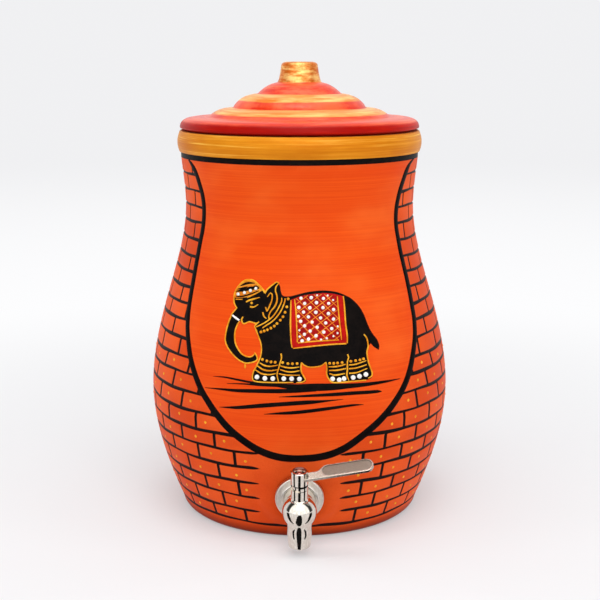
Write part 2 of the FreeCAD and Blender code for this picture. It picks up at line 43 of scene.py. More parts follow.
# The wall: outer radius, height and slope at each station, as in the solid
wall_stations = (
    (0.1014, 0.008, 0.42),
    (0.1134, 0.040, 0.33),
    (0.1250, 0.103, 0.0),
    (0.1118, 0.178, -0.29),
    (0.0945, 0.258, 0.0),
    (0.0977, 0.296, 0.1),
)
foot_radius = 0.094
foot_bow = 0.00185
wall = 0.010
floor_height = 0.012
floor_corner = 0.009

# The black ring, the gold collar and the rim above it
ring_low = 0.296
ring_high = 0.3005
collar_foot = 0.0990
collar_bulge = 0.1006
lip_radius = 0.0990
rim_height = 0.3173
rim_edge = 0.0016
mouth_radius = 0.0876
mouth_edge = 0.0012

# The flat for the tap: its place on the wall, its lean, and how it runs out into the wall
tap_height = 0.0405
tap_out = 0.112565
tap_tilt = math.radians(10.0)
pad_flat = 0.0225
pad_blend = 0.0125

# Places on the tap that its paint follows, in its own leaning frame: its axis, the flange's face,
# the dish, tinted as a painted reflection of the red pot, and the seam of the cap, darkened as painted
# shade. Pairs give a soft edge, from none to full.
tap_axis_out = 0.0220
flange_face = (-0.0066, -0.0062)
dish_radius = (0.0056, 0.0052)
dish_floor = (0.0325, 0.0335)
seam_shade_low = (0.0225, 0.0229)
seam_shade_high = (0.0246, 0.0242)

# The lever: where it starts, how it rises and leans, and the satin field on it
lever_root = 0.0306
lever_rise = math.radians(10.0)
lever_lean = math.radians(20.0)
field_middle = 0.0364
field_half_length = 0.0141
field_half_width = 0.0048
field_edge = 0.0001

# The painted brickwork. The heights of the lines between the courses are the rounded results of a
# fit of camera, wall and lines to the photo, and the same as in the solid.
course_lines = (
    0.0119, 0.0240, 0.0371, 0.0500, 0.0635, 0.0765, 0.0898, 0.1037, 0.1181, 0.1318, 0.1437,
    0.1579, 0.1711, 0.1839, 0.1961, 0.2083, 0.2201, 0.2337, 0.2467, 0.2589, 0.2719, 0.2848,
)
bricks_round = 22
# Heights over which the bricks darken to brown as painted shade, where the pot curves under
foot_shade = (0.0135, 0.0015)
thinner_lines = (0.15, 0.24)
line_half = 0.00165
line_depth = 0.0005
line_wander = 0.0004
line_waves = ((3, 1.0), (8, 0.6), (19, 0.4))
press_waves = ((5, 0.18), (13, 0.12))
joint_half = 0.00165
joint_radius = 0.11
joint_depth = 0.0004
joint_wander = 0.012
groove_sides = (-1.0, -0.45, 0.45, 1.0)
columns_between = 5
lean_start = 0.100
lean_rate = 1.9
lean_most = 0.085

# Where the brickwork stops short of the tap, and what of the wall the photo shows
tap_courses = 6
tap_zone = 0.0312
tap_zone_taper = 0.006
tap_zone_fade = (-0.002, 0.024)
plain_joint_azimuth = math.radians(19.0)
plain_joint_height = 0.080
shown_azimuth = math.radians(80)
out_of_picture = 60.0
groove_end = 0.6
panel_edge = 1.0

# How finely the pot's skin is cut, row by row
foot_rows = (0.0, 0.0012, 0.0028, 0.0048)
brick_rows = (0.36, 0.64)
collar_rows = 12
rim_rows = 6
mouth_rows = 4
inside_rows = 16
corner_rows = 5

# The camera, which also gives every picture place its place on the wall
camera_back = 1.001
camera_height = 0.377
camera_pitch = math.radians(11.49)
picture_width = 600.0
picture_centre = (299.5, 300.0)
picture_focal = 1202.0
sensor_width = 36.0

# The search for the wall along a line of sight: how far in front of the axis, and how many halvings
pot_reach = 0.14
halvings = 40

# Dark strips on the floor, which only the tap's polish shows: pairs of points along each strip
card_level = 0.002
front_card = (
    ((-0.003, -0.142), (0.002, -0.142)), ((-0.014, -0.160), (0.009, -0.160)),
    ((-0.030, -0.230), (0.026, -0.230)), ((-0.045, -0.450), (0.045, -0.450)),
)
side_card = (
    ((0.016, -0.150), (0.016, -0.146)), ((0.060, -0.172), (0.060, -0.146)),
    ((0.400, -0.300), (0.400, -0.130)),
)

# The tones of the studio: what the camera sees behind, the floor, and what falls on the pot
backdrop_white = (0.875, 0.875, 0.89, 1.0)
floor_white = (0.985, 0.985, 0.995, 1.0)
studio_fill = (0.52, 0.52, 0.53, 1.0)
studio_dark = (0.05, 0.05, 0.05, 1.0)
studio_bright = (1.5, 1.5, 1.5, 1.0)

# Lamps: name, place, width and length, power. They hang round the pot and point at its middle.
lamp_aim = (0, 0, 0.17)
lamps = (
    ("left_softbox", (-1.35, -0.35, 0.50), (0.6, 1.1), 3.7),
    ("right_softbox", (1.35, -0.45, 0.50), (0.6, 1.1), 3.6),
    ("front_softbox", (0.15, -1.20, 1.05), (1.2, 0.8), 6.2),
    ("top_softbox", (0.0, -0.15, 1.5), (1.2, 1.0), 6.1),
    ("top_glint", (0.0, -0.32, 1.35), (0.5, 0.25), 2.1),
)

random = np.random.default_rng(7)


def linear(red, green, blue):
    """A colour given as 0 to 255, as a screen shows it, for a shader's socket."""
    shown = [c / 255 for c in (red, green, blue)]
    light = [c / 12.92 if c <= 0.04045 else ((c + 0.055) / 1.055) ** 2.4 for c in shown]
    return (*light, 1.0)


class Wire:
    """An output of a material's node. Arithmetic on it adds Math nodes."""

    def __init__(self, paint, socket):
        self.paint = paint
        self.socket = socket

    def maths(self, operation, *others):
        inputs = dict(enumerate((self,) + others))
        return self.paint.node("ShaderNodeMath", inputs, operation=operation)

    def __add__(self, other):
        return self.maths("ADD", other)

    def __sub__(self, other):
        return self.maths("SUBTRACT", other)

    def __mul__(self, other):
        return self.maths("MULTIPLY", other)

    def __truediv__(self, other):
        return self.maths("DIVIDE", other)

    def __rsub__(self, other):
        return self * -1.0 + other

    __radd__ = __add__
    __rmul__ = __mul__

    def step(self, low, high):
        """0 below low, 1 above high, smooth between. With low over high it falls instead."""
        falls = low > high
        inputs = {"Value": self, "From Min": min(low, high), "From Max": max(low, high)}
        rise = self.paint.node("ShaderNodeMapRange", inputs, interpolation_type="SMOOTHSTEP")
        return 1.0 - rise if falls else rise


class Paint:
    """A material whose nodes are made one by one."""

    def __init__(self, name):
        self.material = bpy.data.materials.new(name)
        self.material.use_nodes = True
        self.tree = self.material.node_tree
        self.shader = self.tree.nodes["Principled BSDF"]

    def node(self, kind, inputs=(), output=0, **settings):
        """One node: its settings first, then the values or wires of its sockets."""
        made = self.tree.nodes.new(kind)
        for name, value in settings.items():
            setattr(made, name, value)
        for name, value in dict(inputs).items():
            if isinstance(value, Wire):
                self.tree.links.new(value.socket, made.inputs[name])
            else:
                made.inputs[name].default_value = value
        return Wire(self, made.outputs[output])

    def place(self):
        return self.node("ShaderNodeTexCoord", output="Object")

    def part(self, vector, axis):
        return self.node("ShaderNodeSeparateXYZ", {0: vector}, output=axis)

    def joined(self, x, y, z):
        return self.node("ShaderNodeCombineXYZ", {0: x, 1: y, 2: z})

    def attribute(self, name):
        return self.node("ShaderNodeAttribute", output="Fac", attribute_name=name)

    def stretched(self, x, y, z):
        """Object coordinates with each axis scaled."""
        return self.node("ShaderNodeMapping", {"Vector": self.place(), "Scale": (x, y, z)})

    def noise(self, vector, scale=1.0, detail=3.0, roughness=0.5):
        inputs = {"Vector": vector, "Scale": scale, "Detail": detail, "Roughness": roughness}
        return self.node("ShaderNodeTexNoise", inputs)

    def mixed(self, share, first, second):
        """A colour between two, by a share."""
        inputs = {0: share, 6: first, 7: second}
        return self.node("ShaderNodeMix", inputs, output=2, data_type="RGBA", clamp_factor=True)

    def surface(self, **sockets):
        """Sets the shader's own sockets, named with underscores for spaces."""
        for name, value in sockets.items():
            socket = self.shader.inputs[name.replace("_", " ")]
            if isinstance(value, Wire):
                self.tree.links.new(value.socket, socket)
            else:
                socket.default_value = value

    def relief(self, height, distance):
        """A bump from a height between 0 and 1, that deep in metres."""
        inputs = {"Height": height, "Distance": distance, "Strength": 1.0}
        self.surface(Normal=self.node("ShaderNodeBump", inputs))


class Sky(Paint):
    """The world, whose nodes are made in the same way."""

    def __init__(self, name):
        self.material = bpy.data.worlds.new(name)
        self.material.use_nodes = True
        self.tree = self.material.node_tree
        self.shader = self.tree.nodes["Background"]


def hermite(lower, upper, height):
    """The radius between two stations, by a cubic that keeps both their slopes."""
    (r0, z0, s0), (r1, z1, s1) = lower, upper
    span = z1 - z0
    t = np.clip((height - z0) / span, 0, 1)
    start = 2 * t**3 - 3 * t**2 + 1
    leave = t**3 - 2 * t**2 + t
    arrive = t**3 - t**2
    return start * r0 + leave * span * s0 + (1 - start) * r1 + arrive * span * s1


def foot_arc(height):
    """The radius of the round below the wall's first station."""
    top_radius, top, _ = wall_stations[0]
    across = top_radius - foot_radius
    chord = math.hypot(across, top)
    bend = (chord**2 / 4 + foot_bow**2) / (2 * foot_bow)
    inward = bend - foot_bow
    centre_radius = (foot_radius + top_radius) / 2 - inward * top / chord
    centre_height = top / 2 + inward * across / chord
    return centre_radius + np.sqrt(np.maximum(bend**2 - (height - centre_height) ** 2, 0))


def wall_radius(height):
    """The pot's outer radius at any height from the foot to the black ring."""
    height = np.asarray(height, dtype=float)
    radius = np.where(height < wall_stations[0][1], foot_arc(height), wall_stations[-1][0])
    for lower, upper in zip(wall_stations, wall_stations[1:]):
        inside = (height >= lower[1]) & (height <= upper[1])
        radius = np.where(inside, hermite(lower, upper, height), radius)
    return radius


def on_pad(points):
    """Points of the wall, pressed flat where the tap is bolted on."""
    cos, sin = math.cos(tap_tilt), math.sin(tap_tilt)
    across = points[..., 0]
    back = points[..., 1] + tap_out
    rise = points[..., 2] - tap_height
    depth = back * cos + rise * sin
    height = rise * cos - back * sin
    reach = np.clip((np.hypot(across, height) - pad_flat) / pad_blend, 0, 1)
    flat = (1 - reach * reach * (3 - 2 * reach)) * (points[..., 1] < 0)
    moved = points.copy()
    moved[..., 1] -= flat * depth * cos
    moved[..., 2] -= flat * depth * sin
    return moved


def round_axis(radius, azimuth, height):
    """Points at a radius and azimuth round the pot's axis, and at a height."""
    height = height + 0 * azimuth
    return np.stack([radius * np.sin(azimuth), -radius * np.cos(azimuth), height], axis=-1)


def wall_point(azimuth, height, lift=0.0):
    """The point of the outer wall at an azimuth and height, lifted out of it along its normal."""
    step = 0.0005
    slope = (wall_radius(height + step) - wall_radius(height - step)) / (2 * step)
    length = np.hypot(1, slope)
    skin = round_axis(wall_radius(height), azimuth, height)
    out = np.stack([np.sin(azimuth) / length, -np.cos(azimuth) / length, -slope / length], axis=-1)
    return on_pad(skin) + out * np.asarray(lift)[..., None]


def picture_place(points):
    """Where points show in the photo, in its pixels."""
    cos, sin = math.cos(camera_pitch), math.sin(camera_pitch)
    back = points[..., 1] + camera_back
    rise = points[..., 2] - camera_height
    depth = back * cos - rise * sin
    up = back * sin + rise * cos
    across = picture_centre[0] + picture_focal * points[..., 0] / depth
    down = picture_centre[1] - picture_focal * up / depth
    return across, down


def wall_from_picture(across, down):
    """The azimuth and height of the wall's point that shows at a place in the photo."""
    cos, sin = math.cos(camera_pitch), math.sin(camera_pitch)
    side = (np.asarray(across, dtype=float) - picture_centre[0]) / picture_focal
    fall = -(np.asarray(down, dtype=float) - picture_centre[1]) / picture_focal
    ray = np.stack([side, cos + fall * sin, -sin + fall * cos], axis=-1)
    nearest = camera_back * ray[..., 1] / (ray[..., 0] ** 2 + ray[..., 1] ** 2)
    near = nearest - pot_reach
    far = nearest
    for _ in range(halvings):
        middle = (near + far) / 2
        x = ray[..., 0] * middle
        y = ray[..., 1] * middle - camera_back
        z = ray[..., 2] * middle + camera_height
        outside = np.hypot(x, y) > wall_radius(z)
        near = np.where(outside, middle, near)
        far = np.where(outside, far, middle)
    return np.arctan2(x, -y), z


def smooth_path(points, step=1.5):
    """A smooth curve through picture places, as points about a step apart."""
    knots = np.array(points, dtype=float)
    ends = np.vstack([2 * knots[0] - knots[1], knots, 2 * knots[-1] - knots[-2]])
    path = [knots[:1]]
    for before, start, end, after in zip(ends, ends[1:], ends[2:], ends[3:]):
        count = max(int(np.hypot(*(end - start)[:2]) / step), 1)
        t = (np.arange(count) + 1)[:, None] / count
        leave = (end - before) / 2
        arrive = (after - start) / 2
        cubic = (2 * t**3 - 3 * t**2 + 1) * start + (t**3 - 2 * t**2 + t) * leave
        path.append(cubic + (3 * t**2 - 2 * t**3) * end + (t**3 - t**2) * arrive)
    return np.vstack(path)


def select_only(piece):
    """Makes a piece the only selected and the active one."""
    bpy.ops.object.select_all(action="DESELECT")
    piece.select_set(True)
    bpy.context.view_layer.objects.active = piece


def placed_grid(name, columns, rows, place):
    """A grid primitive whose points go where a rule of their column and row puts them."""
    bpy.ops.object.select_all(action="DESELECT")
    bpy.ops.mesh.primitive_grid_add(x_subdivisions=columns, y_subdivisions=rows, size=1)
    piece = bpy.context.object
    piece.name = name
    flat = np.empty(len(piece.data.vertices) * 3)
    piece.data.vertices.foreach_get("co", flat)
    flat = flat.reshape(-1, 3)
    column = np.rint((flat[:, 0] + 0.5) * columns).astype(int)
    row = np.rint((flat[:, 1] + 0.5) * rows).astype(int)
    piece.data.vertices.foreach_set("co", place(column, row).ravel())
    piece.data.update()
    return piece, column, row


def close_seams(piece):
    """Merges a wrapped grid's meeting edges and poles."""
    select_only(piece)
    bpy.ops.object.mode_set(mode="EDIT")
    bpy.ops.mesh.select_all(action="SELECT")
    bpy.ops.mesh.remove_doubles(threshold=1e-6)
    bpy.ops.mesh.normals_make_consistent(inside=False)
    bpy.ops.object.mode_set(mode="OBJECT")


def smooth(piece):
    """Shades a piece smooth, except over its sharp edges."""
    select_only(piece)
    bpy.ops.object.shade_smooth_by_angle(angle=math.radians(30.0))


def finish_piece(piece, body, paints):
    """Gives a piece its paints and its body."""
    for paint in paints:
        piece.data.materials.append(paint.material)
    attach(piece, body)


# The arched panel's black line, as places in the photo: down the left, round below, up the right
arch_line = (
    (188.8, 159.8), (193.4, 167.2), (196.8, 175.3), (199.7, 184.5), (202.2, 193.6), (203.7, 202.8),
    (204.1, 212.0), (203.7, 221.2), (202.6, 230.4), (200.5, 240.7), (198.2, 253.4), (195.7, 267.1),
    (193.1, 282.1), (190.5, 297.0), (188.6, 310.8), (187.6, 324.0), (187.8, 334.0), (188.7, 344.5),
    (190.2, 355.6), (192.5, 365.9), (195.3, 375.1), (198.8, 384.3), (202.8, 392.9), (208.0, 401.5),
    (213.6, 410.2), (220.0, 418.6), (226.5, 426.2), (235.0, 434.2), (244.7, 441.6), (254.9, 448.3),
    (266.0, 453.4), (277.0, 456.8), (288.0, 458.4), (300.0, 458.8), (316.8, 457.5), (331.0, 454.2),
    (345.0, 448.1), (357.8, 439.3), (367.0, 432.0), (378.7, 421.6), (388.3, 410.9), (395.9, 400.4),
    (401.7, 390.8), (406.5, 380.3), (409.8, 369.8), (412.2, 358.3), (413.9, 346.8), (414.9, 334.4),
    (414.3, 320.0), (412.3, 307.3), (409.6, 292.4), (406.5, 277.4), (403.3, 263.7), (400.4, 251.0),
    (398.1, 238.4), (396.4, 228.1), (395.8, 218.9), (396.2, 209.7), (397.6, 200.5), (400.1, 190.2),
    (403.3, 179.9), (406.5, 170.7), (409.6, 163.8), (413.6, 158.6),
)


def inside_loop(loop, x, y):
    """Which points lie inside a closed line."""
    within = np.zeros(np.shape(x), dtype=bool)
    for (x0, y0), (x1, y1) in zip(loop, np.roll(loop, -1, axis=0)):
        crosses = (y0 > y) != (y1 > y)
        within ^= crosses & (x < x0 + (y - y0) * (x1 - x0) / (y1 - y0 if y1 != y0 else 1e-9))
    return within


def arch_distance(across, down):
    """How far places of the picture lie outside the arch's line, in pixels. Inside is negative."""
    path = smooth_path(arch_line, 6.0)
    nearest = np.full(across.shape, 1e9)
    for x, y in path:
        nearest = np.minimum(nearest, np.hypot(across - x, down - y))
    loop = np.vstack([path, [[path[-1][0], 0]], [[path[0][0], 0]]])
    return np.where(inside_loop(loop, across, down), -nearest, nearest)


def pot_rows():
    """The rows of the pot's skin, from under its foot, up, over the rim and down inside."""
    rows = []

    def row(radius, height, side=0.0, line=-1, course=-1, zone="clay"):
        rows.append(dict(radius=radius, height=height, side=side, line=line, course=course, zone=zone))

    for radius in (0.0, foot_radius * 0.6, foot_radius - 0.003):
        row(radius, 0.0, zone="under")
    for height in foot_rows + (wall_stations[0][1],):
        row(None, height)
    for line, (low, high) in enumerate(zip(course_lines, course_lines[1:] + (ring_low,))):
        for side in groove_sides:
            course = line - 1 if side < -0.5 else line if side > 0.5 else -1
            row(None, low, side=side, line=line, course=course)
        for share in brick_rows:
            row(None, low + (high - low) * share, course=line)
    row(wall_stations[-1][0], ring_low, zone="ring")
    row(wall_stations[-1][0], ring_high, zone="ring")
    row(collar_foot, ring_high, zone="collar")
    for share in np.linspace(0, 1, collar_rows)[1:]:
        turn = 4 * share * (1 - share)
        straight = collar_foot + (lip_radius - collar_foot) * share
        height = ring_high + (rim_height - rim_edge - ring_high) * share
        row(straight + turn * (collar_bulge - (collar_foot + lip_radius) / 2), height, zone="collar")
    for angle in np.linspace(0, math.pi / 2, rim_rows)[1:]:
        radius = lip_radius - rim_edge * (1 - math.cos(angle))
        row(radius, rim_height - rim_edge * (1 - math.sin(angle)), zone="collar")
    for angle in np.linspace(0, math.pi / 2, mouth_rows):
        radius = mouth_radius + mouth_edge * (1 - math.sin(angle))
        row(radius, rim_height - mouth_edge * (1 - math.cos(angle)), zone="inside")
    row(mouth_radius, ring_low + wall, zone="inside")
    for height in np.linspace(ring_low, floor_height + floor_corner, inside_rows):
        row(float(wall_radius(height)) - wall, height, zone="inside")
    corner_radius = float(wall_radius(floor_height + floor_corner)) - wall
    for angle in np.linspace(0, math.pi / 2, corner_rows)[1:]:
        radius = corner_radius - floor_corner * (1 - math.cos(angle))
        row(radius, floor_height + floor_corner * (1 - math.sin(angle)), zone="inside")
    row(corner_radius * 0.5, floor_height, zone="inside")
    row(0.0, floor_height, zone="inside")
    return rows


def smoothstep(low, high, value):
    t = np.clip((value - low) / (high - low), 0, 1)
    return t * t * (3 - 2 * t)


def joint_wanders():
    """How far each half brick's edge strays round the wall, for every course."""
    wander = random.uniform(-joint_wander, joint_wander, (len(course_lines), 2 * bricks_round + 1))
    wander[:, -1] = wander[:, 0]
    return wander


def leaned(base, height):
    """The azimuth of an upright line of the brickwork, which leans to the front higher up."""
    lean = np.clip((height - lean_start) * lean_rate, 0, lean_most)
    return base - lean * np.sin(base)


def waves(around, table, phases, start=0.0):
    """A sum of waves round the wall, each with its count, its strength and its phase."""
    terms = (share * np.sin(times * around + phase) for (times, share), phase in zip(table, phases))
    return sum(terms, start)


def aside_of_tap(around, height):
    """How far points of the wall lie to the side of the tap, in metres."""
    return np.abs(np.sin(around)) * wall_radius(height)


class PotSkin:
    """Where every point of the pot's skin lies, and how much of it is line, panel and brick."""

    def __init__(self, rows, wander):
        self.rows = rows
        wave = random.uniform(0, 2 * math.pi, (len(course_lines), 3))
        self.cut_columns()
        shape = (len(rows), self.columns + 1)
        self.azimuth = np.stack([self.row_azimuth(row, wander) for row in rows])
        self.height = np.stack([np.full(self.columns + 1, float(row["height"])) for row in rows])
        self.line, self.depth, self.tone = np.zeros(shape), np.zeros(shape), np.zeros(shape)
        brick_tone = random.uniform(-1, 1, (len(course_lines) + 1, bricks_round + 1))
        for index, row in enumerate(rows):
            if row["line"] >= 0:
                self.cut_level_line(index, row, wave[row["line"]])
        for index, row in enumerate(rows):
            if row["course"] >= 0:
                self.cut_joints(index, row, brick_tone[row["course"]])
        self.place_points()

    def cut_columns(self):
        """Each half brick has the columns of its joint's groove, and then those of its face."""
        sides = len(groove_sides)
        per_half = sides + columns_between
        halves = 2 * bricks_round
        self.columns = halves * per_half
        column = np.arange(self.columns + 1)
        self.half = np.minimum(column // per_half, halves)
        place = column - self.half * per_half
        self.on_joint = place < sides
        across_groove = np.array(groove_sides + (0.0,) * columns_between)
        self.side = np.where(self.on_joint, across_groove[place], 0.0)
        self.share = np.where(self.on_joint, 0.0, (place - sides + 1) / (columns_between + 1))

    def row_azimuth(self, row, wander):
        """The azimuths of a row's points, with the wander of its course's joints."""
        halves = 2 * bricks_round
        course = row["course"] if row["course"] >= 0 else row["line"]
        shift = wander[course] if course >= 0 else np.zeros(halves + 1)
        following = np.minimum(self.half + 1, halves)
        own = shift[self.half] * (1 - self.share) + shift[following] * self.share
        base = (self.half + self.share) * (math.pi / bricks_round) - math.pi
        joint_reach = joint_half / joint_radius
        inset = np.where(self.on_joint, 0.0, joint_reach * (1 - 2 * self.share))
        return leaned(base, row["height"]) + own + joint_reach * self.side * self.on_joint + inset

    def cut_level_line(self, index, row, phases):
        """One row of the groove between two courses, wavering and pressed unevenly."""
        around = self.azimuth[index]
        middle = row["height"] + line_wander * waves(around, line_waves, phases)
        taper = np.ones_like(around)
        if 0 < row["line"] < tap_courses:
            past = (aside_of_tap(around, row["height"]) - tap_zone) / tap_zone_taper
            taper = np.where(np.abs(around) < math.pi / 2, np.clip(past, 0, 1) ** 0.5, 1.0)
        press = waves(around, press_waves, phases[1::-1], 1.0)
        self.height[index] = middle + row["side"] * line_half * press * np.maximum(taper, 0.02)
        floor = abs(row["side"]) < 0.5
        self.depth[index] = line_depth * floor * taper**0.5
        self.line[index] = floor * (taper > 0)

    def cut_joints(self, index, row, brick_tone):
        """The upright joints that a row crosses, and the tone of each brick on it."""
        course, around = row["course"], self.azimuth[index]
        floor = self.on_joint & ((self.half + course) % 2 == 1) & (np.abs(self.side) < 0.5)
        plain = (np.abs(around) < plain_joint_azimuth) & (row["height"] < plain_joint_height)
        floor = floor & ~plain
        self.depth[index] = np.maximum(self.depth[index], joint_depth * floor)
        self.line[index] = np.maximum(self.line[index], floor)
        brick = ((self.half + (course + 1) % 2) // 2) % bricks_round
        low, high = (tap_zone + reach for reach in tap_zone_fade)
        fade = smoothstep(low, high, aside_of_tap(around, row["height"]))
        near_tap = (np.abs(around) < math.pi / 2) & (course < tap_courses)
        self.tone[index] = brick_tone[brick] * np.where(near_tap, fade, 1.0)

    def place_points(self):
        """The skin itself. Grooves end at the arch, and what lies inside it is panel."""
        given = np.array([np.nan if row["radius"] is None else row["radius"] for row in self.rows])
        on_wall = np.isnan(given)[:, None]
        radius = np.where(on_wall, wall_radius(self.height), given[:, None])
        plain = round_axis(radius, self.azimuth, self.height)
        across, down = picture_place(plain)
        shown = np.abs(self.azimuth) < shown_azimuth
        outside = np.where(shown, arch_distance(across, down), out_of_picture)
        free = smoothstep(-groove_end, groove_end, outside)
        self.line = self.line * (free > 0.5)
        self.panel = smoothstep(panel_edge, -panel_edge, outside) * on_wall
        cut = wall_point(self.azimuth, self.height, -self.depth * free)
        self.points = np.where(on_wall[..., None], cut, plain)


# The lid's section: radius and height, from the knob's top to the lip, then below it and inwards
lid_top = (
    (0.0, 0.3723), (0.0060, 0.3723), (0.0108, 0.3722), (0.0130, 0.3717), (0.0143, 0.3708),
    (0.0150, 0.3694), (0.0153, 0.3670), (0.0160, 0.3625), (0.0169, 0.3585), (0.0178, 0.3562),
    (0.0182, 0.3557), (0.0200, 0.3553), (0.0225, 0.3546), (0.0252, 0.3535), (0.0280, 0.3519),
    (0.0304, 0.3502), (0.0326, 0.3483), (0.0342, 0.3468), (0.0346, 0.3466), (0.0375, 0.3463),
    (0.0410, 0.3456), (0.0445, 0.3445), (0.0475, 0.3430), (0.0499, 0.3413), (0.0516, 0.3397),
    (0.0530, 0.3381), (0.0540, 0.3366), (0.0546, 0.3354), (0.0551, 0.3352), (0.0590, 0.3350),
    (0.0630, 0.3345), (0.0665, 0.3335), (0.0694, 0.3321), (0.0716, 0.3307), (0.0732, 0.3295),
    (0.0744, 0.3284), (0.0750, 0.3281), (0.0800, 0.3281), (0.0850, 0.3279), (0.0890, 0.3276),
    (0.0916, 0.3272), (0.0938, 0.3265), (0.0956, 0.3255), (0.0968, 0.3244), (0.0976, 0.3232),
    (0.0980, 0.3222), (0.0983, 0.3210), (0.0984, 0.3200), (0.0981, 0.3194), (0.0968, 0.3189),
    (0.0940, 0.3176),
)
lid_below = (
    (0.0940, 0.3176), (0.0880, 0.3176), (0.0850, 0.3176), (0.0846, 0.3140), (0.0838, 0.3090),
    (0.0832, 0.3086), (0.0776, 0.3086), (0.0770, 0.3090), (0.0770, 0.3190), (0.0764, 0.3196),
    (0.0587, 0.3262), (0.0364, 0.3366), (0.0142, 0.3466), (0.0, 0.3470),
)
lid_columns = 160
lid_lip_points = 4

# What of the lid is bare clay: all below its lip, and all that lies well under its painted top
lid_skin = 0.004
lid_bare_height = 0.3400
lid_bare_radius = 0.0935
lid_hollow_radius = 0.0560

# Where the lid's paints change: radii of the two gold steps, the knob's radius and foot, and the height
# below which the lid's upright edge is painted a darker red as shade
lower_gold = ((0.0550, 0.0562), (0.0722, 0.0708))
upper_gold = ((0.0346, 0.0356), (0.0508, 0.0494))
knob_gold = (0.0186, 0.0178)
knob_foot = (0.3552, 0.3562)
shaded_edge_top = (0.3262, 0.3240)


def spun_piece(name, profile, columns):
    """A profile of radius and height turned round the upright axis."""
    radius, height = np.array(profile).T

    def place(column, row):
        return round_axis(radius[row], 2 * math.pi * column / columns, height[row])

    piece = placed_grid(name, columns, len(profile) - 1, place)[0]
    close_seams(piece)
    return piece


def make_lid(paints):
    """The stepped lid, painted above and bare clay below, where its spigot drops into the mouth."""
    piece = spun_piece("painted_lid", lid_top + lid_below[1:], lid_columns)
    centres = np.array([face.center[:] for face in piece.data.polygons])
    radius, height = np.hypot(centres[:, 0], centres[:, 1]), centres[:, 2]
    level = np.interp(radius, *zip(*lid_top[:-lid_lip_points])) - lid_skin
    bare = (height < np.minimum(level, lid_bare_height)) & (radius < lid_bare_radius)
    bare |= (radius < lid_hollow_radius) & (height < level)
    piece.data.polygons.foreach_set("material_index", bare.astype(int))
    smooth(piece)
    finish_piece(piece, "lid", [paints["lid"], paints["lid_below"]])
    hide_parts("clay_lid")


def make_pot(paints, wander):
    """The pot's skin in one piece: painted brickwork, panel, ring, collar, and bare clay inside."""
    rows = pot_rows()
    skin = PotSkin(rows, wander)
    piece, column, row = placed_grid(
        "painted_pot", skin.columns, len(rows) - 1, lambda column, row: skin.points[row, column]
    )
    for name in ("line", "panel", "tone"):
        layer = piece.data.attributes.new(name, "FLOAT", "POINT")
        layer.data.foreach_set("value", getattr(skin, name)[row, column].astype(np.float32))
    zones = ["clay", "ring", "collar", "inside", "under"]
    slots = []
    for polygon in piece.data.polygons:
        lower = row[list(polygon.vertices)].min()
        low, high = rows[lower]["zone"], rows[lower + 1]["zone"]
        slots.append(zones.index(low if low in ("under", "clay") else high))
    piece.data.polygons.foreach_set("material_index", slots)
    close_seams(piece)
    smooth(piece)
    finish_piece(piece, "pot", [paints[zone] for zone in zones])
    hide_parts("clay_pot")


# The drawing on the panel. Every point is a place in the photo, and a third number is half the
# width of the stroke there, in its pixels.
line_half_width = 0.72

elephant_outline = (
    ((234.0, 300.1), (234.6, 292.8), (237.4, 287.0), (241.6, 282.5), (245.5, 280.2), (250.0, 279.7),
     (253.9, 280.5), (257.3, 283.0), (261.0, 287.0), (265.4, 291.4)),
    ((265.4, 291.4), (268.2, 288.0), (271.9, 285.1), (276.9, 281.3)),
    ((276.9, 281.3), (279.9, 285.5), (280.9, 291.0), (283.2, 295.8), (289.8, 296.2), (296.6, 294.6),
     (307.5, 292.0), (319.0, 290.5), (328.1, 290.6), (336.2, 291.8), (343.6, 294.4), (350.5, 297.9),
     (356.3, 303.0), (360.9, 308.7), (364.3, 315.1), (367.2, 322.5), (370.2, 329.4), (373.7, 335.0),
     (377.2, 339.4), (379.4, 345.6), (378.8, 350.0)),
    ((378.8, 350.0), (374.0, 347.0), (370.6, 343.4)),
    ((370.6, 343.4), (368.6, 346.7), (367.4, 352.1), (368.0, 357.0), (369.0, 362.1), (371.0, 367.5),
     (372.9, 372.8), (372.2, 376.8), (369.0, 379.2), (358.0, 381.6), (346.0, 382.6), (334.0, 383.4),
     (328.2, 379.6), (325.9, 373.5), (326.0, 368.1), (325.6, 363.2)),
    ((325.6, 363.2), (321.5, 366.1), (316.5, 367.4), (310.0, 367.8), (304.9, 366.0), (302.0, 363.2)),
    ((302.0, 363.2), (301.2, 366.8), (302.0, 372.2), (305.0, 377.2), (306.2, 380.4), (303.0, 383.0),
     (290.0, 383.6), (272.0, 383.3), (257.0, 382.4), (252.2, 380.6), (251.4, 376.4), (253.0, 370.8),
     (256.2, 365.0), (260.0, 357.4), (261.2, 351.0), (260.9, 345.1), (258.6, 339.0), (256.2, 332.6),
     (254.3, 325.9)),
    ((254.3, 325.9), (256.2, 323.5), (249.4, 322.0), (243.8, 324.2), (241.2, 321.4), (239.6, 321.2)),
    ((239.6, 321.2), (237.0, 325.6), (235.3, 330.6), (234.6, 336.5), (235.1, 341.8), (236.3, 346.2),
     (239.0, 350.8), (242.8, 355.0), (248.4, 357.3), (252.2, 356.6), (254.9, 352.8)),
    ((254.9, 352.8), (257.2, 356.0), (257.7, 359.4), (255.4, 361.6), (250.9, 363.0), (245.4, 363.4),
     (240.0, 361.0), (235.2, 357.2), (230.2, 351.8), (226.6, 345.8), (224.9, 340.0), (225.1, 335.0),
     (226.4, 329.0), (228.4, 322.2), (230.1, 317.6), (232.0, 313.2), (236.6, 308.2)),
    ((236.6, 308.2), (234.8, 304.4), (234.0, 300.1)),
)
cap_outline = (
    ((234.8, 298.0), (235.0, 292.8), (237.7, 287.4), (241.8, 283.0), (245.6, 280.8), (250.0, 280.2),
     (253.7, 281.0), (257.0, 283.4), (260.4, 287.0), (263.4, 290.4)),
    ((263.4, 290.4), (256.0, 294.0), (248.6, 296.8), (241.5, 297.9), (234.8, 298.0)),
)
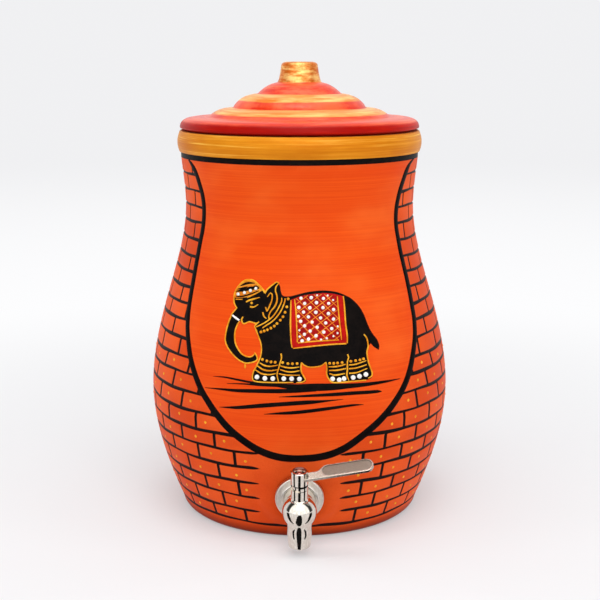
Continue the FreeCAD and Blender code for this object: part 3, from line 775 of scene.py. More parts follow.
cloth_outline = (
    ((291.0, 299.6), (300.0, 296.2), (310.0, 294.2), (320.0, 293.2), (332.0, 293.4), (343.2, 296.0)),
    ((343.2, 296.0), (344.3, 306.4), (345.5, 323.7), (346.8, 335.0), (347.0, 343.4)),
    ((347.0, 343.4), (330.4, 344.6), (313.2, 346.4), (292.6, 348.6)),
    ((292.6, 348.6), (290.9, 340.0), (290.5, 322.5), (291.0, 299.6)),
)
weave_outline = (
    ((294.6, 299.0), (303.0, 296.4), (314.0, 294.4), (326.0, 294.2), (337.2, 296.2)),
    ((337.2, 296.2), (338.0, 306.4), (339.6, 323.7), (341.2, 340.0)),
    ((341.2, 340.0), (326.0, 340.9), (313.2, 341.7), (297.6, 343.4)),
    ((297.6, 343.4), (296.8, 328.1), (296.0, 311.3), (294.6, 299.0)),
)

gold_strokes = (
    ((237.0, 308.0, 0.6), (234.8, 304.2), (234.0, 300.0), (234.9, 292.8), (237.7, 287.3),
     (241.7, 282.8, 0.9), (245.5, 280.5, 1.2), (250.0, 280.1, 1.3), (253.9, 280.9, 1.1), (257.3, 283.4),
     (261.2, 287.4, 0.9), (264.9, 292.6, 1.0)),
    ((264.9, 293.4, 0.9), (267.2, 289.6), (271.9, 285.4), (276.8, 282.0), (279.4, 283.8, 0.5)),
    ((278.6, 283.6, 0.5), (276.0, 287.0), (275.5, 291.1), (277.0, 296.1, 0.8), (276.8, 301.7, 0.9),
     (274.6, 306.8, 0.9), (270.9, 311.3), (268.9, 315.8), (269.4, 319.4, 0.6)),
    ((267.4, 296.9, 0.5), (270.6, 292.9), (272.2, 294.4), (271.9, 300.1), (269.8, 305.6, 0.9),
     (267.3, 311.4, 0.5)),
    ((265.6, 307.2, 0.6), (267.1, 311.5, 0.9)),
    ((262.8, 312.4, 0.8), (263.9, 316.2), (266.4, 318.7, 0.5)),
    ((246.2, 302.0, 0.8), (249.2, 300.4, 1.0), (253.9, 299.0, 0.9), (260.1, 297.3, 0.4)),
    ((250.2, 306.8, 1.0), (253.9, 307.0, 0.8), (258.4, 304.4, 0.4)),
    ((247.2, 297.7, 0.4), (254.4, 294.4), (261.4, 290.4, 0.5)),
    ((236.0, 299.2, 0.7), (242.8, 299.5, 0.5)),
    ((237.0, 308.0, 0.5), (232.3, 313.6), (230.4, 318.0), (228.6, 322.6), (226.7, 329.2),
     (225.6, 336.0), (225.4, 340.6), (227.1, 345.9), (230.6, 351.7), (235.6, 357.3), (240.7, 361.1),
     (245.8, 363.1, 0.8), (250.9, 362.7), (255.3, 361.3), (257.5, 359.0), (256.6, 355.6),
     (254.6, 352.4, 0.5)),
    ((239.7, 321.0, 0.5), (237.1, 325.4), (235.4, 330.4), (234.8, 336.5), (235.2, 341.5),
     (236.3, 345.4), (238.9, 350.2), (242.7, 354.6), (248.2, 356.9), (252.2, 356.2),
     (254.9, 353.6, 0.5)),
    ((243.2, 316.8, 0.7), (241.6, 320.0, 0.9), (243.8, 323.8), (249.4, 321.7), (256.2, 323.4),
     (259.2, 321.6, 0.5)),
    ((258.4, 322.4, 0.5), (255.0, 325.6, 0.8)),
    ((254.6, 325.9, 0.6), (256.5, 331.0), (258.7, 337.1), (260.7, 342.5), (261.5, 348.0),
     (261.3, 352.5), (259.9, 358.6), (256.2, 366.6), (253.7, 371.2), (252.4, 376.2), (253.1, 380.0),
     (256.4, 381.6), (265.0, 382.3), (278.3, 382.6), (293.4, 382.4, 0.5)),
    ((281.0, 353.6, 0.9), (281.5, 357.9), (279.7, 364.2), (278.4, 369.3), (277.1, 374.4),
     (278.5, 381.8, 0.5)),
    ((281.7, 297.8, 0.5), (281.6, 301.4), (278.6, 307.9), (274.1, 315.0), (268.5, 320.2),
     (262.3, 324.1), (256.4, 326.9, 0.7)),
    ((285.1, 298.4, 0.6), (284.7, 302.0), (281.4, 310.2), (276.9, 316.8), (271.9, 321.8),
     (265.7, 325.8), (262.6, 328.0, 0.6)),
    ((245.2, 363.6, 0.5), (245.1, 367.0, 1.1), (245.2, 368.4, 0.5)),
    ((259.8, 362.8, 0.6), (264.4, 365.4, 0.9), (270.1, 366.4), (277.7, 365.2, 0.5)),
    ((257.3, 365.8, 0.6), (263.2, 369.6, 0.9), (270.1, 370.8), (278.2, 369.6, 0.5)),
    ((255.4, 369.8, 0.6), (261.6, 373.6, 0.9), (268.8, 374.7), (275.8, 373.6, 0.5)),
    ((280.4, 365.9, 0.6), (286.6, 367.6, 0.8), (293.0, 367.9), (299.4, 367.0, 0.5)),
    ((280.2, 369.7, 0.6), (287.9, 371.8, 0.8), (294.0, 371.8), (299.6, 370.6, 0.5)),
    ((278.6, 373.6, 0.6), (286.6, 375.1, 0.8), (300.0, 375.2, 0.4)),
    ((301.6, 362.4, 0.7), (300.9, 366.8), (301.5, 372.2), (304.3, 377.4), (305.3, 380.1),
     (302.4, 382.1), (296.4, 382.7, 0.5)),
    ((301.6, 362.6, 0.6), (304.4, 365.3), (309.7, 367.2), (317.1, 366.8), (321.8, 365.5),
     (326.2, 362.2, 0.6)),
    ((326.0, 362.6, 0.7), (326.8, 368.1), (326.6, 373.5), (328.6, 378.7), (333.6, 382.5, 0.8),
     (348.6, 381.7, 0.8), (366.0, 380.2, 0.8)),
    ((347.4, 354.2, 0.9), (348.5, 357.4), (347.3, 362.1), (347.3, 370.1, 0.9), (346.7, 374.8, 0.9),
     (348.7, 380.4, 0.5)),
    ((363.7, 334.2, 0.7), (366.5, 338.0), (367.8, 343.5), (368.0, 346.7), (366.8, 352.1),
     (367.3, 356.7), (368.3, 362.1), (370.2, 367.5), (372.0, 372.6), (371.4, 376.2),
     (368.0, 378.3, 0.5)),
    ((328.6, 366.9, 0.6), (336.5, 366.5, 0.9), (345.4, 364.3, 0.6)),
    ((329.0, 370.5, 0.6), (337.9, 370.1, 0.9), (345.9, 368.5, 0.6)),
    ((329.3, 373.5, 0.6), (335.2, 375.1, 0.9), (344.8, 373.5, 0.6)),
    ((348.8, 365.0, 0.7), (355.3, 364.3), (366.0, 360.7, 0.5)),
    ((348.8, 368.8, 0.8), (357.3, 367.7), (366.4, 364.7, 0.6)),
    ((348.8, 373.3, 0.8), (356.6, 372.6), (367.0, 368.4, 0.5)),
    ((291.0, 300.4, 0.7), (290.5, 322.5, 0.9), (291.0, 340.0), (292.2, 347.8, 0.6)),
    ((293.2, 348.4, 0.6), (313.2, 346.2, 0.8), (330.4, 344.5, 0.8), (346.2, 343.6, 0.9)),
    ((343.1, 296.2, 0.7), (344.3, 306.4, 0.9), (345.5, 323.7, 0.9), (347.0, 335.1, 0.9),
     (347.1, 343.2, 0.7)),
    ((294.6, 299.2, 0.6), (296.0, 311.3, 0.8), (296.8, 328.1, 0.8), (297.4, 342.2, 0.7)),
    ((298.0, 342.9, 0.6), (313.2, 341.4, 0.8), (326.0, 340.6, 0.9), (338.6, 340.0, 0.6)),
    ((337.1, 296.4, 0.6), (337.9, 306.4, 0.8), (339.6, 323.7, 0.8), (341.4, 339.8, 0.6)),
)
black_strokes = (
    ((240.6, 286.0, 0.5), (244.4, 284.2, 1.4), (249.0, 283.0, 1.5), (254.9, 283.3, 0.4)),
    ((237.6, 289.2, 0.5), (241.6, 288.4, 1.1), (247.6, 286.6, 0.5)),
    ((253.4, 286.6, 0.4), (256.6, 286.0, 0.8), (259.4, 288.2, 0.4)),
    ((236.0, 291.4, 0.5), (244.0, 290.0, 2.0), (252.0, 288.2, 2.2), (259.0, 288.6, 0.7)),
    ((236.2, 296.6, 0.5), (243.4, 296.2, 1.0), (251.0, 293.9, 1.0), (259.0, 290.8, 0.5)),
)
white_strokes = (
    ((232.5, 315.2, 0.9), (236.0, 318.0, 1.2), (239.5, 320.4, 0.9)),
)
cap_dots = ((238.4, 294.1), (244.6, 292.6), (250.6, 290.6), (256.0, 288.6))
gold_dots = (
    (288.1, 298.9), (286.8, 306.9), (285.1, 312.3), (283.0, 316.7), (280.3, 320.2), (277.0, 323.5),
    (274.3, 326.1), (270.9, 328.2), (267.5, 329.8), (264.3, 331.0), (261.0, 332.0), (262.5, 359.5),
    (266.9, 361.0), (271.0, 361.9), (275.1, 362.3), (282.6, 362.6), (287.9, 363.6), (292.4, 363.7),
    (297.1, 363.6), (329.6, 363.3), (333.7, 363.3), (337.5, 363.1), (342.0, 362.6), (350.8, 361.3),
    (355.5, 360.6), (359.8, 360.0), (363.4, 358.9),
)
toe_dots = (
    (257.0, 377.0), (264.9, 378.4), (272.8, 378.6), (283.8, 378.6), (291.7, 378.7), (299.4, 379.0),
    (332.6, 378.8), (339.2, 379.8), (344.0, 378.6), (353.1, 377.5), (359.4, 376.2), (365.8, 374.4),
)
ground_strokes = (
    ((213.5, 376.3, 0.2), (225.0, 377.2, 0.8), (237.0, 379.6, 1.1), (252.8, 382.6, 1.2),
     (270.0, 384.4, 1.5), (296.0, 385.4, 1.3)),
    ((227.0, 383.4, 0.2), (245.0, 384.0, 0.8), (262.4, 385.4, 1.0), (296.0, 386.8, 1.2)),
    ((250.0, 383.4, 0.5), (272.0, 384.9, 1.4), (295.0, 387.2, 3.2), (312.0, 387.4, 4.1),
     (330.0, 387.0, 3.8), (348.0, 386.0, 2.8), (366.0, 384.4, 2.1), (385.0, 381.6, 1.4),
     (400.0, 378.6, 0.3)),
    ((205.0, 387.6, 0.2), (222.0, 389.2, 1.1), (238.0, 390.6, 1.8), (262.0, 391.1, 2.2),
     (290.0, 391.0, 2.3), (316.0, 390.2, 1.4)),
    ((279.0, 397.0, 0.2), (290.0, 396.6, 0.8), (305.0, 396.0, 1.3), (335.0, 394.4, 1.9),
     (352.0, 393.2, 2.0), (368.7, 392.2, 1.9), (378.0, 391.4, 1.6), (381.6, 391.5, 0.5)),
    ((219.5, 407.0, 0.2), (229.0, 407.4, 1.1), (240.0, 407.4, 1.9), (262.4, 405.6, 2.3),
     (285.0, 404.0, 2.3), (305.0, 402.6, 2.3), (317.0, 401.8, 1.7), (330.0, 400.6, 0.9),
     (343.0, 399.4, 0.2)),
    ((264.0, 414.2, 0.2), (276.0, 413.6, 1.1), (290.0, 412.9, 1.8), (305.0, 411.6, 1.9),
     (328.5, 408.6, 1.8), (345.0, 406.2, 1.4), (355.0, 405.0, 1.1), (363.5, 404.6, 0.2)),
)
arch_halves = ((158, 0.5), (168, 1.9), (190, 2.05), (330, 2.15), (385, 2.9), (430, 3.5), (459, 3.75))

# The cloth's lattice: where one of its white dots lies, the steps to the next ones, and the dots
weave_dot = (315.8, 312.4)
weave_down = (5.3, 5.2)
weave_up = (6.1, -4.6)
weave_count = 9
weave_samples = 160
weave_shortest = 4
weave_half_widths = (0.35, 0.55, 0.35)
cloth_dots = (
    (301.0, 298.3), (311.2, 297.7), (317.0, 295.4), (323.3, 298.5), (327.5, 295.6), (304.6, 303.5),
    (316.4, 302.7), (328.6, 303.5), (333.0, 300.1), (298.8, 307.5), (309.8, 307.9), (322.9, 307.7),
    (333.4, 309.6), (303.5, 312.2), (315.8, 312.4), (328.3, 313.6), (308.3, 316.9), (298.4, 316.5),
    (320.5, 318.0), (333.4, 319.1), (300.7, 321.3), (312.1, 322.1), (325.6, 323.0), (304.6, 325.9),
    (317.1, 327.3), (331.6, 328.6), (337.6, 326.4), (310.1, 331.1), (323.6, 332.1), (299.4, 330.3),
    (304.4, 334.4), (316.0, 335.8), (337.4, 333.1), (333.3, 336.2), (308.5, 339.2), (299.7, 336.6),
    (326.7, 338.3), (302.1, 341.0), (320.9, 339.6),
)
small_cloth_dots = (2, 4, 8, 26, 29, 32, 33, 35, 36, 38)

# The marks on the cap, each a disc, a ring on it and a pearl, and the other dots: radii in pixels
cap_disc = (3.0, 0.6)
cap_ring = (2.3, 0.95)
cap_pearl = (1.9, 1.1)
gold_dot = 1.55
ear_dot = (251.7, 303.0)
ear_dot_radius = 1.4
cloth_dot = 2.1
small_cloth_dot = 1.3
cloth_dot_stray = 0.15
toe_dot = 2.6

# How far each coat stands out of the wall, in metres
edge_sink = -0.00005
coat_black = 0.00016
coat_ground = coat_black * 1.2
coat_colour = 0.00030
coat_weave = coat_colour + 0.0001
coat_line = 0.00065
coat_thin_line = coat_line * 0.8
coat_dot = 0.00085
coat_arch = 0.00035

# How finely the drawing is cut, in pixels of the photo
stroke_step = 1.2
ground_step = 2.0
arch_step = 2.5
outline_step = 1.6
field_cell = 3.0
field_rim = 0.35

# Sections of a stroke, a dot and a dot on a brick, from edge to middle
stroke_side = np.array([-1.0, -0.72, 0.0, 0.72, 1.0])
stroke_height = np.array([0.0, 0.78, 1.0, 0.78, 0.0])
dot_reach = np.array([1.0, 0.8, 0.45, 0.0])
brick_dot_reach = np.array([1.0, 0.65, 0.0])
dot_sides = 12

# The small gold dots on the bricks
brick_dot_radius = 0.00125
brick_dot_lift = 0.0004
brick_dot_share = 0.42
brick_dots_top = 0.150
brick_dot_sides = 10
brick_samples = 41
brick_samples_needed = 14
brick_dot_stray = (0.05, 0.0012)
arch_clearance = 5.0


def with_widths(points):
    """Stroke points as rows of place and half width, with the common width where none is given."""
    return [tuple(p) if len(p) == 3 else (*p, line_half_width) for p in points]


def wall_stroke(points, lift, step=stroke_step):
    """A rounded line of paint on the wall, along a smooth path through places of the photo."""
    path = smooth_path(with_widths(points), step)
    along = np.gradient(path[:, :2], axis=0)
    along /= np.hypot(along[:, 0], along[:, 1])[:, None]

    def place(column, row):
        reach = stroke_side[row] * path[column, 2]
        across = path[column, 0] - along[column, 1] * reach
        down = path[column, 1] + along[column, 0] * reach
        azimuth, level = wall_from_picture(across, down)
        return wall_point(azimuth, level, edge_sink + stroke_height[row] * (lift - edge_sink))

    return placed_grid("stroke", len(path) - 1, len(stroke_side) - 1, place)[0]


def wall_strokes(lines, lift, step=stroke_step):
    return [wall_stroke(points, lift, step) for points in lines]


def wall_dot(across, down, radius, lift):
    """A round blob of paint on the wall, at a place of the photo."""

    def place(column, row):
        angle = -2 * math.pi * column / dot_sides
        reach = dot_reach[row]
        azimuth, level = wall_from_picture(
            across + radius * reach * np.cos(angle), down + radius * reach * np.sin(angle)
        )
        dome = np.sqrt(1 - reach**2)
        return wall_point(azimuth, level, edge_sink + dome * (lift - edge_sink))

    return placed_grid("dot", dot_sides, len(dot_reach) - 1, place)[0]


def wall_dots(places, radius, lift):
    return [wall_dot(x, y, radius, lift) for x, y in places]


def outline_path(outline):
    """The closed line of an outline given in parts that meet at its corners."""
    return np.vstack([smooth_path(part, outline_step)[:-1] for part in outline])


def cut_in_cells(flat):
    """Cuts the face in edit mode along lines a cell apart, both ways."""
    for axis in (0, 1):
        for cut in np.arange(flat[:, axis].min() + field_cell / 2, flat[:, axis].max(), field_cell):
            place, normal = [0.0, 0.0, 0.0], [0.0, 0.0, 0.0]
            place[axis], normal[axis] = cut, 1.0
            bpy.ops.mesh.select_all(action="SELECT")
            bpy.ops.mesh.bisect(plane_co=place, plane_no=normal)


def border_points(mesh):
    """Which points of a mesh lie on its open edges."""
    uses = np.zeros(len(mesh.edges), dtype=int)
    for loop in mesh.loops:
        uses[loop.edge_index] += 1
    border = np.zeros(len(mesh.vertices), dtype=bool)
    for edge in mesh.edges:
        if uses[edge.index] == 1:
            border[list(edge.vertices)] = True
    return border


def wall_field(outline, lift):
    """A flat coat of paint inside an outline, cut small enough to follow the wall."""
    path = outline_path(outline)
    bpy.ops.object.select_all(action="DESELECT")
    bpy.ops.mesh.primitive_circle_add(vertices=len(path), radius=1.0, fill_type="NGON")
    piece = bpy.context.object
    mesh = piece.data
    flat = np.stack([path[:, 0], -path[:, 1], 0 * path[:, 0]], axis=-1)
    mesh.vertices.foreach_set("co", flat.ravel())
    bpy.ops.object.mode_set(mode="EDIT")
    bpy.ops.mesh.select_all(action="SELECT")
    bpy.ops.mesh.normals_make_consistent(inside=False)
    bpy.ops.mesh.inset(thickness=field_rim, use_boundary=True)
    bpy.ops.mesh.select_all(action="SELECT")
    bpy.ops.mesh.quads_convert_to_tris(ngon_method="CLIP")
    cut_in_cells(flat)
    bpy.ops.object.mode_set(mode="OBJECT")
    place = np.empty(len(mesh.vertices) * 3)
    mesh.vertices.foreach_get("co", place)
    place = place.reshape(-1, 3)
    azimuth, level = wall_from_picture(place[:, 0], -place[:, 1])
    skin = wall_point(azimuth, level, np.where(border_points(mesh), edge_sink, lift))
    mesh.vertices.foreach_set("co", skin.ravel())
    mesh.update()
    return piece


def one_piece(name, parts, paint):
    """Joins strokes, dots and coats of one paint into a piece of the pot."""
    bpy.ops.object.select_all(action="DESELECT")
    for part in parts:
        part.select_set(True)
    bpy.context.view_layer.objects.active = parts[0]
    if len(parts) > 1:
        bpy.ops.object.join()
    piece = bpy.context.object
    piece.name = name
    bpy.ops.object.mode_set(mode="EDIT")
    bpy.ops.mesh.select_all(action="SELECT")
    bpy.ops.mesh.remove_doubles(threshold=1e-7)
    bpy.ops.object.mode_set(mode="OBJECT")
    bpy.ops.object.shade_smooth()
    finish_piece(piece, "pot", [paint])


def weave_lines():
    """The lattice's strokes, each kept where it runs inside the woven field."""
    loop = outline_path(weave_outline)
    strokes = []
    reach = np.linspace(-weave_count, weave_count, weave_samples)
    steps = ((np.array(weave_down), np.array(weave_up)), (np.array(weave_up), np.array(weave_down)))
    for along, across in steps:
        for index in range(-weave_count, weave_count):
            line = np.array(weave_dot) + (index + 0.5) * across + reach[:, None] * along
            kept = line[inside_loop(loop, line[:, 0], line[:, 1])]
            if len(kept) > weave_shortest:
                places = (kept[0], kept[len(kept) // 2], kept[-1])
                strokes.append([(*place, half) for place, half in zip(places, weave_half_widths)])
    return strokes


def cloth_pearls():
    """The white dots of the cloth, no two quite the same size."""
    pearls = []
    for index, (x, y) in enumerate(cloth_dots):
        radius = small_cloth_dot if index in small_cloth_dots else cloth_dot
        stray = random.uniform(-cloth_dot_stray, cloth_dot_stray)
        pearls.append(wall_dot(x, y, radius + stray, coat_dot))
    return pearls


def draw_elephant(paints):
    """The black elephant with its gold lines, cap, collar and woven cloth."""
    fields = (
        ("elephant_body", elephant_outline, coat_black, "black"),
        ("elephant_cap", cap_outline, coat_colour, "cap"),
        ("elephant_cloth", cloth_outline, coat_colour, "red"),
        ("woven_field", weave_outline, coat_weave, "dark_red"),
    )
    for name, outline, lift, paint in fields:
        one_piece(name, [wall_field(outline, lift)], paints[paint])
    one_piece("gold_lines", wall_strokes(gold_strokes, coat_line), paints["gold"])
    one_piece("lattice_lines", wall_strokes(weave_lines(), coat_thin_line), paints["lattice"])
    black = wall_strokes(black_strokes, coat_thin_line)
    black += wall_dots(cap_dots, cap_ring[0], coat_line * cap_ring[1])
    one_piece("cap_marks", black, paints["black"])
    gold = wall_dots(gold_dots, gold_dot, coat_dot)
    gold += wall_dots([ear_dot], ear_dot_radius, coat_dot)
    gold += wall_dots(cap_dots, cap_disc[0], coat_line * cap_disc[1])
    one_piece("gold_dots", gold, paints["gold"])
    white = cloth_pearls() + wall_dots(toe_dots, toe_dot, coat_dot)
    white += wall_dots(cap_dots, cap_pearl[0], coat_dot * cap_pearl[1])
    white += wall_strokes(white_strokes, coat_line)
    one_piece("white_dots", white, paints["white"])


def draw_ground(paints):
    """The dry brush strokes of ground under the elephant."""
    one_piece("ground_strokes", wall_strokes(ground_strokes, coat_ground, ground_step), paints["black"])


def draw_arch(paints):
    """The black line round the panel, thicker towards its foot."""
    halves = np.interp([y for _, y in arch_line], *zip(*arch_halves))
    points = [(x, y, half) for (x, y), half in zip(arch_line, halves)]
    one_piece("arch_line", [wall_stroke(points, coat_arch, arch_step)], paints["black"])


def free_of_drawing(around, level):
    """Which points along a course are clear of the arch and of the plain ground by the tap."""
    across, down = picture_place(wall_point(around, np.full(len(around), level)))
    behind = np.abs(around) >= shown_azimuth
    free = behind | (arch_distance(across, down) > arch_clearance)
    if course_lines[1] < level < course_lines[tap_courses - 1]:
        free &= behind | (aside_of_tap(around, level) > tap_zone)
    if level < course_lines[1]:
        free &= np.abs(around) > plain_joint_azimuth
    return free


def brick_dot_places(wander):
    """A place near the middle of each brick's free part, for the courses up to the belly."""
    places = []
    for course, (low, high) in enumerate(zip(course_lines, course_lines[1:])):
        level = (low + high) / 2
        if level > brick_dots_top:
            break
        for half in range((course + 1) % 2, 2 * bricks_round - 1, 2):
            base = np.linspace(half, half + 2, brick_samples) * math.pi / bricks_round - math.pi
            around = leaned(base, level)
            around += np.linspace(wander[course, half], wander[course, half + 2], brick_samples)
            kept = around[free_of_drawing(around, level)]
            if len(kept) > brick_samples_needed:
                share, rise = (random.uniform(-stray, stray) for stray in brick_dot_stray)
                turn = kept[0] + (kept[-1] - kept[0]) * (brick_dot_share + share)
                places.append((turn, level + rise))
    return places


def brick_dot(azimuth, level):
    """One gold dot on a brick."""
    radius = float(wall_radius(level))

    def place(column, row):
        angle = 2 * math.pi * column / brick_dot_sides
        reach = brick_dot_reach[row]
        turn = azimuth + brick_dot_radius * reach * np.cos(angle) / radius
        rise = level + brick_dot_radius * reach * np.sin(angle)
        return wall_point(turn, rise, edge_sink + np.sqrt(1 - reach**2) * brick_dot_lift)

    return placed_grid("dot", brick_dot_sides, len(brick_dot_reach) - 1, place)[0]


def draw_brick_dots(paints, wander):
    """A small gold dot on each brick of the lower courses."""
    dots = [brick_dot(azimuth, level) for azimuth, level in brick_dot_places(wander)]
    one_piece("brick_dots", dots, paints["gold"])


# Colours of the paints, the metals and the clay
paint_index = 1.22
orange_deep = linear(228, 68, 11)
orange_panel = linear(240, 88, 18)
orange_light = linear(250, 116, 44)
brick_red = linear(218, 72, 18)
brick_light = linear(238, 92, 32)
# Brown painted at the foot as shade
foot_shade_brown = linear(120, 36, 14)
tap_steel = linear(216, 208, 197)
tap_steel_pale = linear(232, 226, 217)
# The red-brown of the cap's dish is a painted reflection of the pot; the near black of the seam is
# painted shade
tap_dish_reflection = linear(158, 108, 98)
tap_seam_shade = linear(26, 20, 17)
lever_steel = linear(168, 156, 144)
lever_steel_pale = linear(196, 188, 178)
line_dark = linear(14, 8, 6)
line_maroon = linear(34, 9, 7)
gold_low = linear(206, 116, 10)
gold_rough = linear(200, 92, 8)
gold_mid = linear(232, 150, 30)
gold_high = linear(255, 208, 96)
# Darker reds painted on the lid's upright edge as shade, where its top is orange
lid_red_shaded = linear(162, 9, 1)
lid_edge_shaded = linear(196, 26, 4)
lid_orange = linear(218, 44, 10)
lid_pale = linear(246, 104, 60)
lid_gold = linear(234, 124, 28)
lid_gold_pale = linear(255, 214, 130)
clay_bare = linear(178, 92, 58)
clay_pale = linear(198, 114, 76)
lever_field = linear(126, 116, 105)
lever_field_pale = linear(142, 133, 122)


def grained(name, low, high, grain, detail, band, roughness, uneven, depth, **sockets):
    """A finish whose colour, roughness and relief all follow one grain."""
    paint = Paint(name)
    marks = paint.noise(paint.stretched(*grain), detail=detail)
    colour = paint.mixed(marks.step(*band), low, high)
    paint.surface(Base_Color=colour, Roughness=roughness + marks * uneven, **sockets)
    paint.relief(marks, depth)
    return paint


def plain_paint(name, low, high, roughness, shine=0.1):
    """Hand laid craft paint of one colour, a little uneven."""
    paint = Paint(name)
    grain = paint.noise(paint.stretched(500.0, 500.0, 500.0), detail=3.0)
    patches = paint.noise(paint.stretched(90.0, 90.0, 160.0), detail=3.0)
    uneven = grain * 0.4 + patches * 0.6
    paint.surface(
        Base_Color=paint.mixed(uneven.step(0.36, 0.64), low, high),
        Roughness=roughness + grain * 0.12,
        Specular_IOR_Level=shine,
    )
    paint.relief(uneven, 0.00008)
    return paint


def brush_marks(paint, around=7.0, up=900.0):
    """Fine level streaks, as a wide brush leaves them on a turning pot."""
    fine = paint.noise(paint.stretched(around, around, up), detail=4.0, roughness=0.65)
    broad = paint.noise(paint.stretched(around / 2, around / 2, up / 7), detail=2.0)
    return fine * 0.78 + broad * 0.22


def pot_paint():
    """Orange brushed over the panel, duller on the bricks and darkened to brown at the foot as painted
    shade, with black lines.
    """
    paint = Paint("brushed_orange_on_clay")
    streaks = brush_marks(paint)
    patches = paint.noise(paint.stretched(14.0, 14.0, 22.0), detail=3.0)
    grain = paint.noise(paint.stretched(900.0, 900.0, 900.0), detail=2.0)
    tone, panel, line = (paint.attribute(name) for name in ("tone", "panel", "line"))
    level = paint.part(paint.place(), "Z")
    field = paint.mixed(streaks.step(0.28, 0.76), orange_deep, orange_panel)
    field = paint.mixed(patches.step(0.42, 0.78) * 0.5, field, orange_light)
    brick = (patches + tone * 0.12 + grain * 0.2).step(0.40, 0.85)
    brick = paint.mixed(brick, brick_red, brick_light)
    # Painted shade: the bricks darken to brown towards the foot, where the wall curves under
    brick = paint.mixed(level.step(*foot_shade) * 0.85, brick, foot_shade_brown)
    ground = paint.mixed(panel, brick, field)
    dark = paint.mixed(grain.step(0.45, 0.7), line_dark, line_maroon)
    thinner = level.step(*thinner_lines) * 0.18
    paint.surface(
        Base_Color=paint.mixed((line - thinner).step(0.28, 0.58), ground, dark),
        Roughness=0.42 + grain * 0.12 - panel * 0.06,
        Specular_IOR_Level=0.3,
        IOR=paint_index,
    )
    paint.relief(streaks * 0.6 + grain * 0.3, 0.00012)
    return paint


def gold_paint(name):
    """Gold craft paint, laid on in level brush marks."""
    paint = Paint(name)
    streaks = brush_marks(paint, 10.0, 700.0)
    patches = paint.noise(paint.stretched(26.0, 26.0, 60.0), detail=3.0)
    body = paint.mixed((streaks * 0.7 + patches * 0.3).step(0.34, 0.66), gold_low, gold_mid)
    paint.surface(
        Base_Color=paint.mixed(streaks.step(0.52, 0.74), body, gold_high),
        Roughness=0.34 + streaks * 0.1,
        Metallic=0.12,
        Specular_IOR_Level=0.3,
        IOR=paint_index,
    )
    paint.relief(streaks, 0.0002)
    return paint


def bare_clay(name):
    """Unpainted fired clay, with the level rings of the potter's fingers."""
    paint = Paint(name)
    rings = paint.noise(paint.stretched(3.0, 3.0, 240.0), detail=3.0)
    grain = paint.noise(paint.stretched(420.0, 420.0, 420.0), detail=4.0)
    colour = paint.mixed((rings * 0.5 + grain * 0.5).step(0.35, 0.7), clay_bare, clay_pale)
    paint.surface(Base_Color=colour, Roughness=0.82)
    paint.relief(rings * 0.7 + grain * 0.3, 0.0004)
    return paint


def lid_paint():
    """Red-orange paint brushed round the lid, with gold on the shoulders of its steps and knob, and a
    darker red painted on the upright edge as shade.
    """
    paint = Paint("brushed_lid_paint")
    place = paint.place()
    x, y, z = (paint.part(place, axis) for axis in "XYZ")
    radius = (x * x + y * y).maths("SQRT")
    across = paint.joined(x / radius * 1.6, y / radius * 1.6, (radius + z * 0.8) * 520.0)
    streaks = paint.noise(across, detail=4.0, roughness=0.65)
    broad = paint.noise(paint.joined(x / radius * 1.2, y / radius * 1.2, radius * 60.0), detail=2.0)
    waver = (broad - 0.5) * 0.002 + (streaks - 0.5) * 0.0012
    edge = radius + waver
    # Painted shade: the lid's upright edge is a darker red than its top
    shaded_edge_side = (z + waver * 0.3).step(*shaded_edge_top)
    red = paint.mixed(streaks.step(0.36, 0.68), lid_orange, lid_pale)
    shaded_edge_red = paint.mixed(streaks.step(0.40, 0.72), lid_red_shaded, lid_edge_shaded)
    red = paint.mixed(shaded_edge_side, red, shaded_edge_red)
    lower, upper = (edge.step(*inner) * edge.step(*outer) for inner, outer in (lower_gold, upper_gold))
    knob = edge.step(*knob_gold) * z.step(*knob_foot)
    gold = (lower + upper + knob).maths("MINIMUM", 1.0)
    metal = paint.mixed(streaks.step(0.30, 0.74), lid_gold, lid_gold_pale)
    metal = paint.mixed(knob * streaks.step(0.66, 0.36) * 0.75, metal, gold_rough)
    paint.surface(
        Base_Color=paint.mixed(gold, red, metal),
        Roughness=0.30 + streaks * 0.12,
        Metallic=gold * (knob * 0.15 + 0.25),
        Specular_IOR_Level=0.35,
        IOR=paint_index,
        Coat_Weight=(1.0 - shaded_edge_side) * (1.0 - gold * 0.7) * 0.35,
        Coat_Roughness=0.2,
    )
    paint.relief(streaks, 0.0002)
    return paint


def polished_metal():
    """Polished cast steel with a little unevenness left by the buffing, satin on the flange, with
    painted shade in the seam between neck and cap and a painted reflection of the red pot in the cap's
    dish."""
    paint = Paint("polished_tap_steel")
    swirl = paint.noise(paint.stretched(60.0, 60.0, 60.0), detail=2.0)
    fine = paint.noise(paint.stretched(900.0, 900.0, 300.0), detail=3.0)
    place = paint.place()
    side, y, z = (paint.part(place, axis) for axis in "XYZ")
    cos, sin = math.cos(tap_tilt), math.sin(tap_tilt)
    depth = (y + tap_out) * cos + (z - tap_height) * sin
    rise = (z - tap_height) * cos - (y + tap_out) * sin
    out = depth + tap_axis_out
    reach = (out * out + side * side).maths("SQRT")
    flange = depth.step(*flange_face)
    # Painted reflection of the red pot in the cap's dish, and painted shade in the seam under the cap
    dish_reflection = reach.step(*dish_radius) * rise.step(*dish_floor)
    seam_shade = rise.step(*seam_shade_low) * rise.step(*seam_shade_high)
    steel = paint.mixed(fine.step(0.4, 0.7), tap_steel, tap_steel_pale)
    steel = paint.mixed(dish_reflection, steel, tap_dish_reflection)
    paint.surface(
        Base_Color=paint.mixed(seam_shade, steel, tap_seam_shade),
        Metallic=1.0,
        Roughness=0.05 + fine * 0.04 + flange * 0.22,
    )
    paint.relief(swirl * 0.9 + fine * 0.05, 0.00035)
    return paint


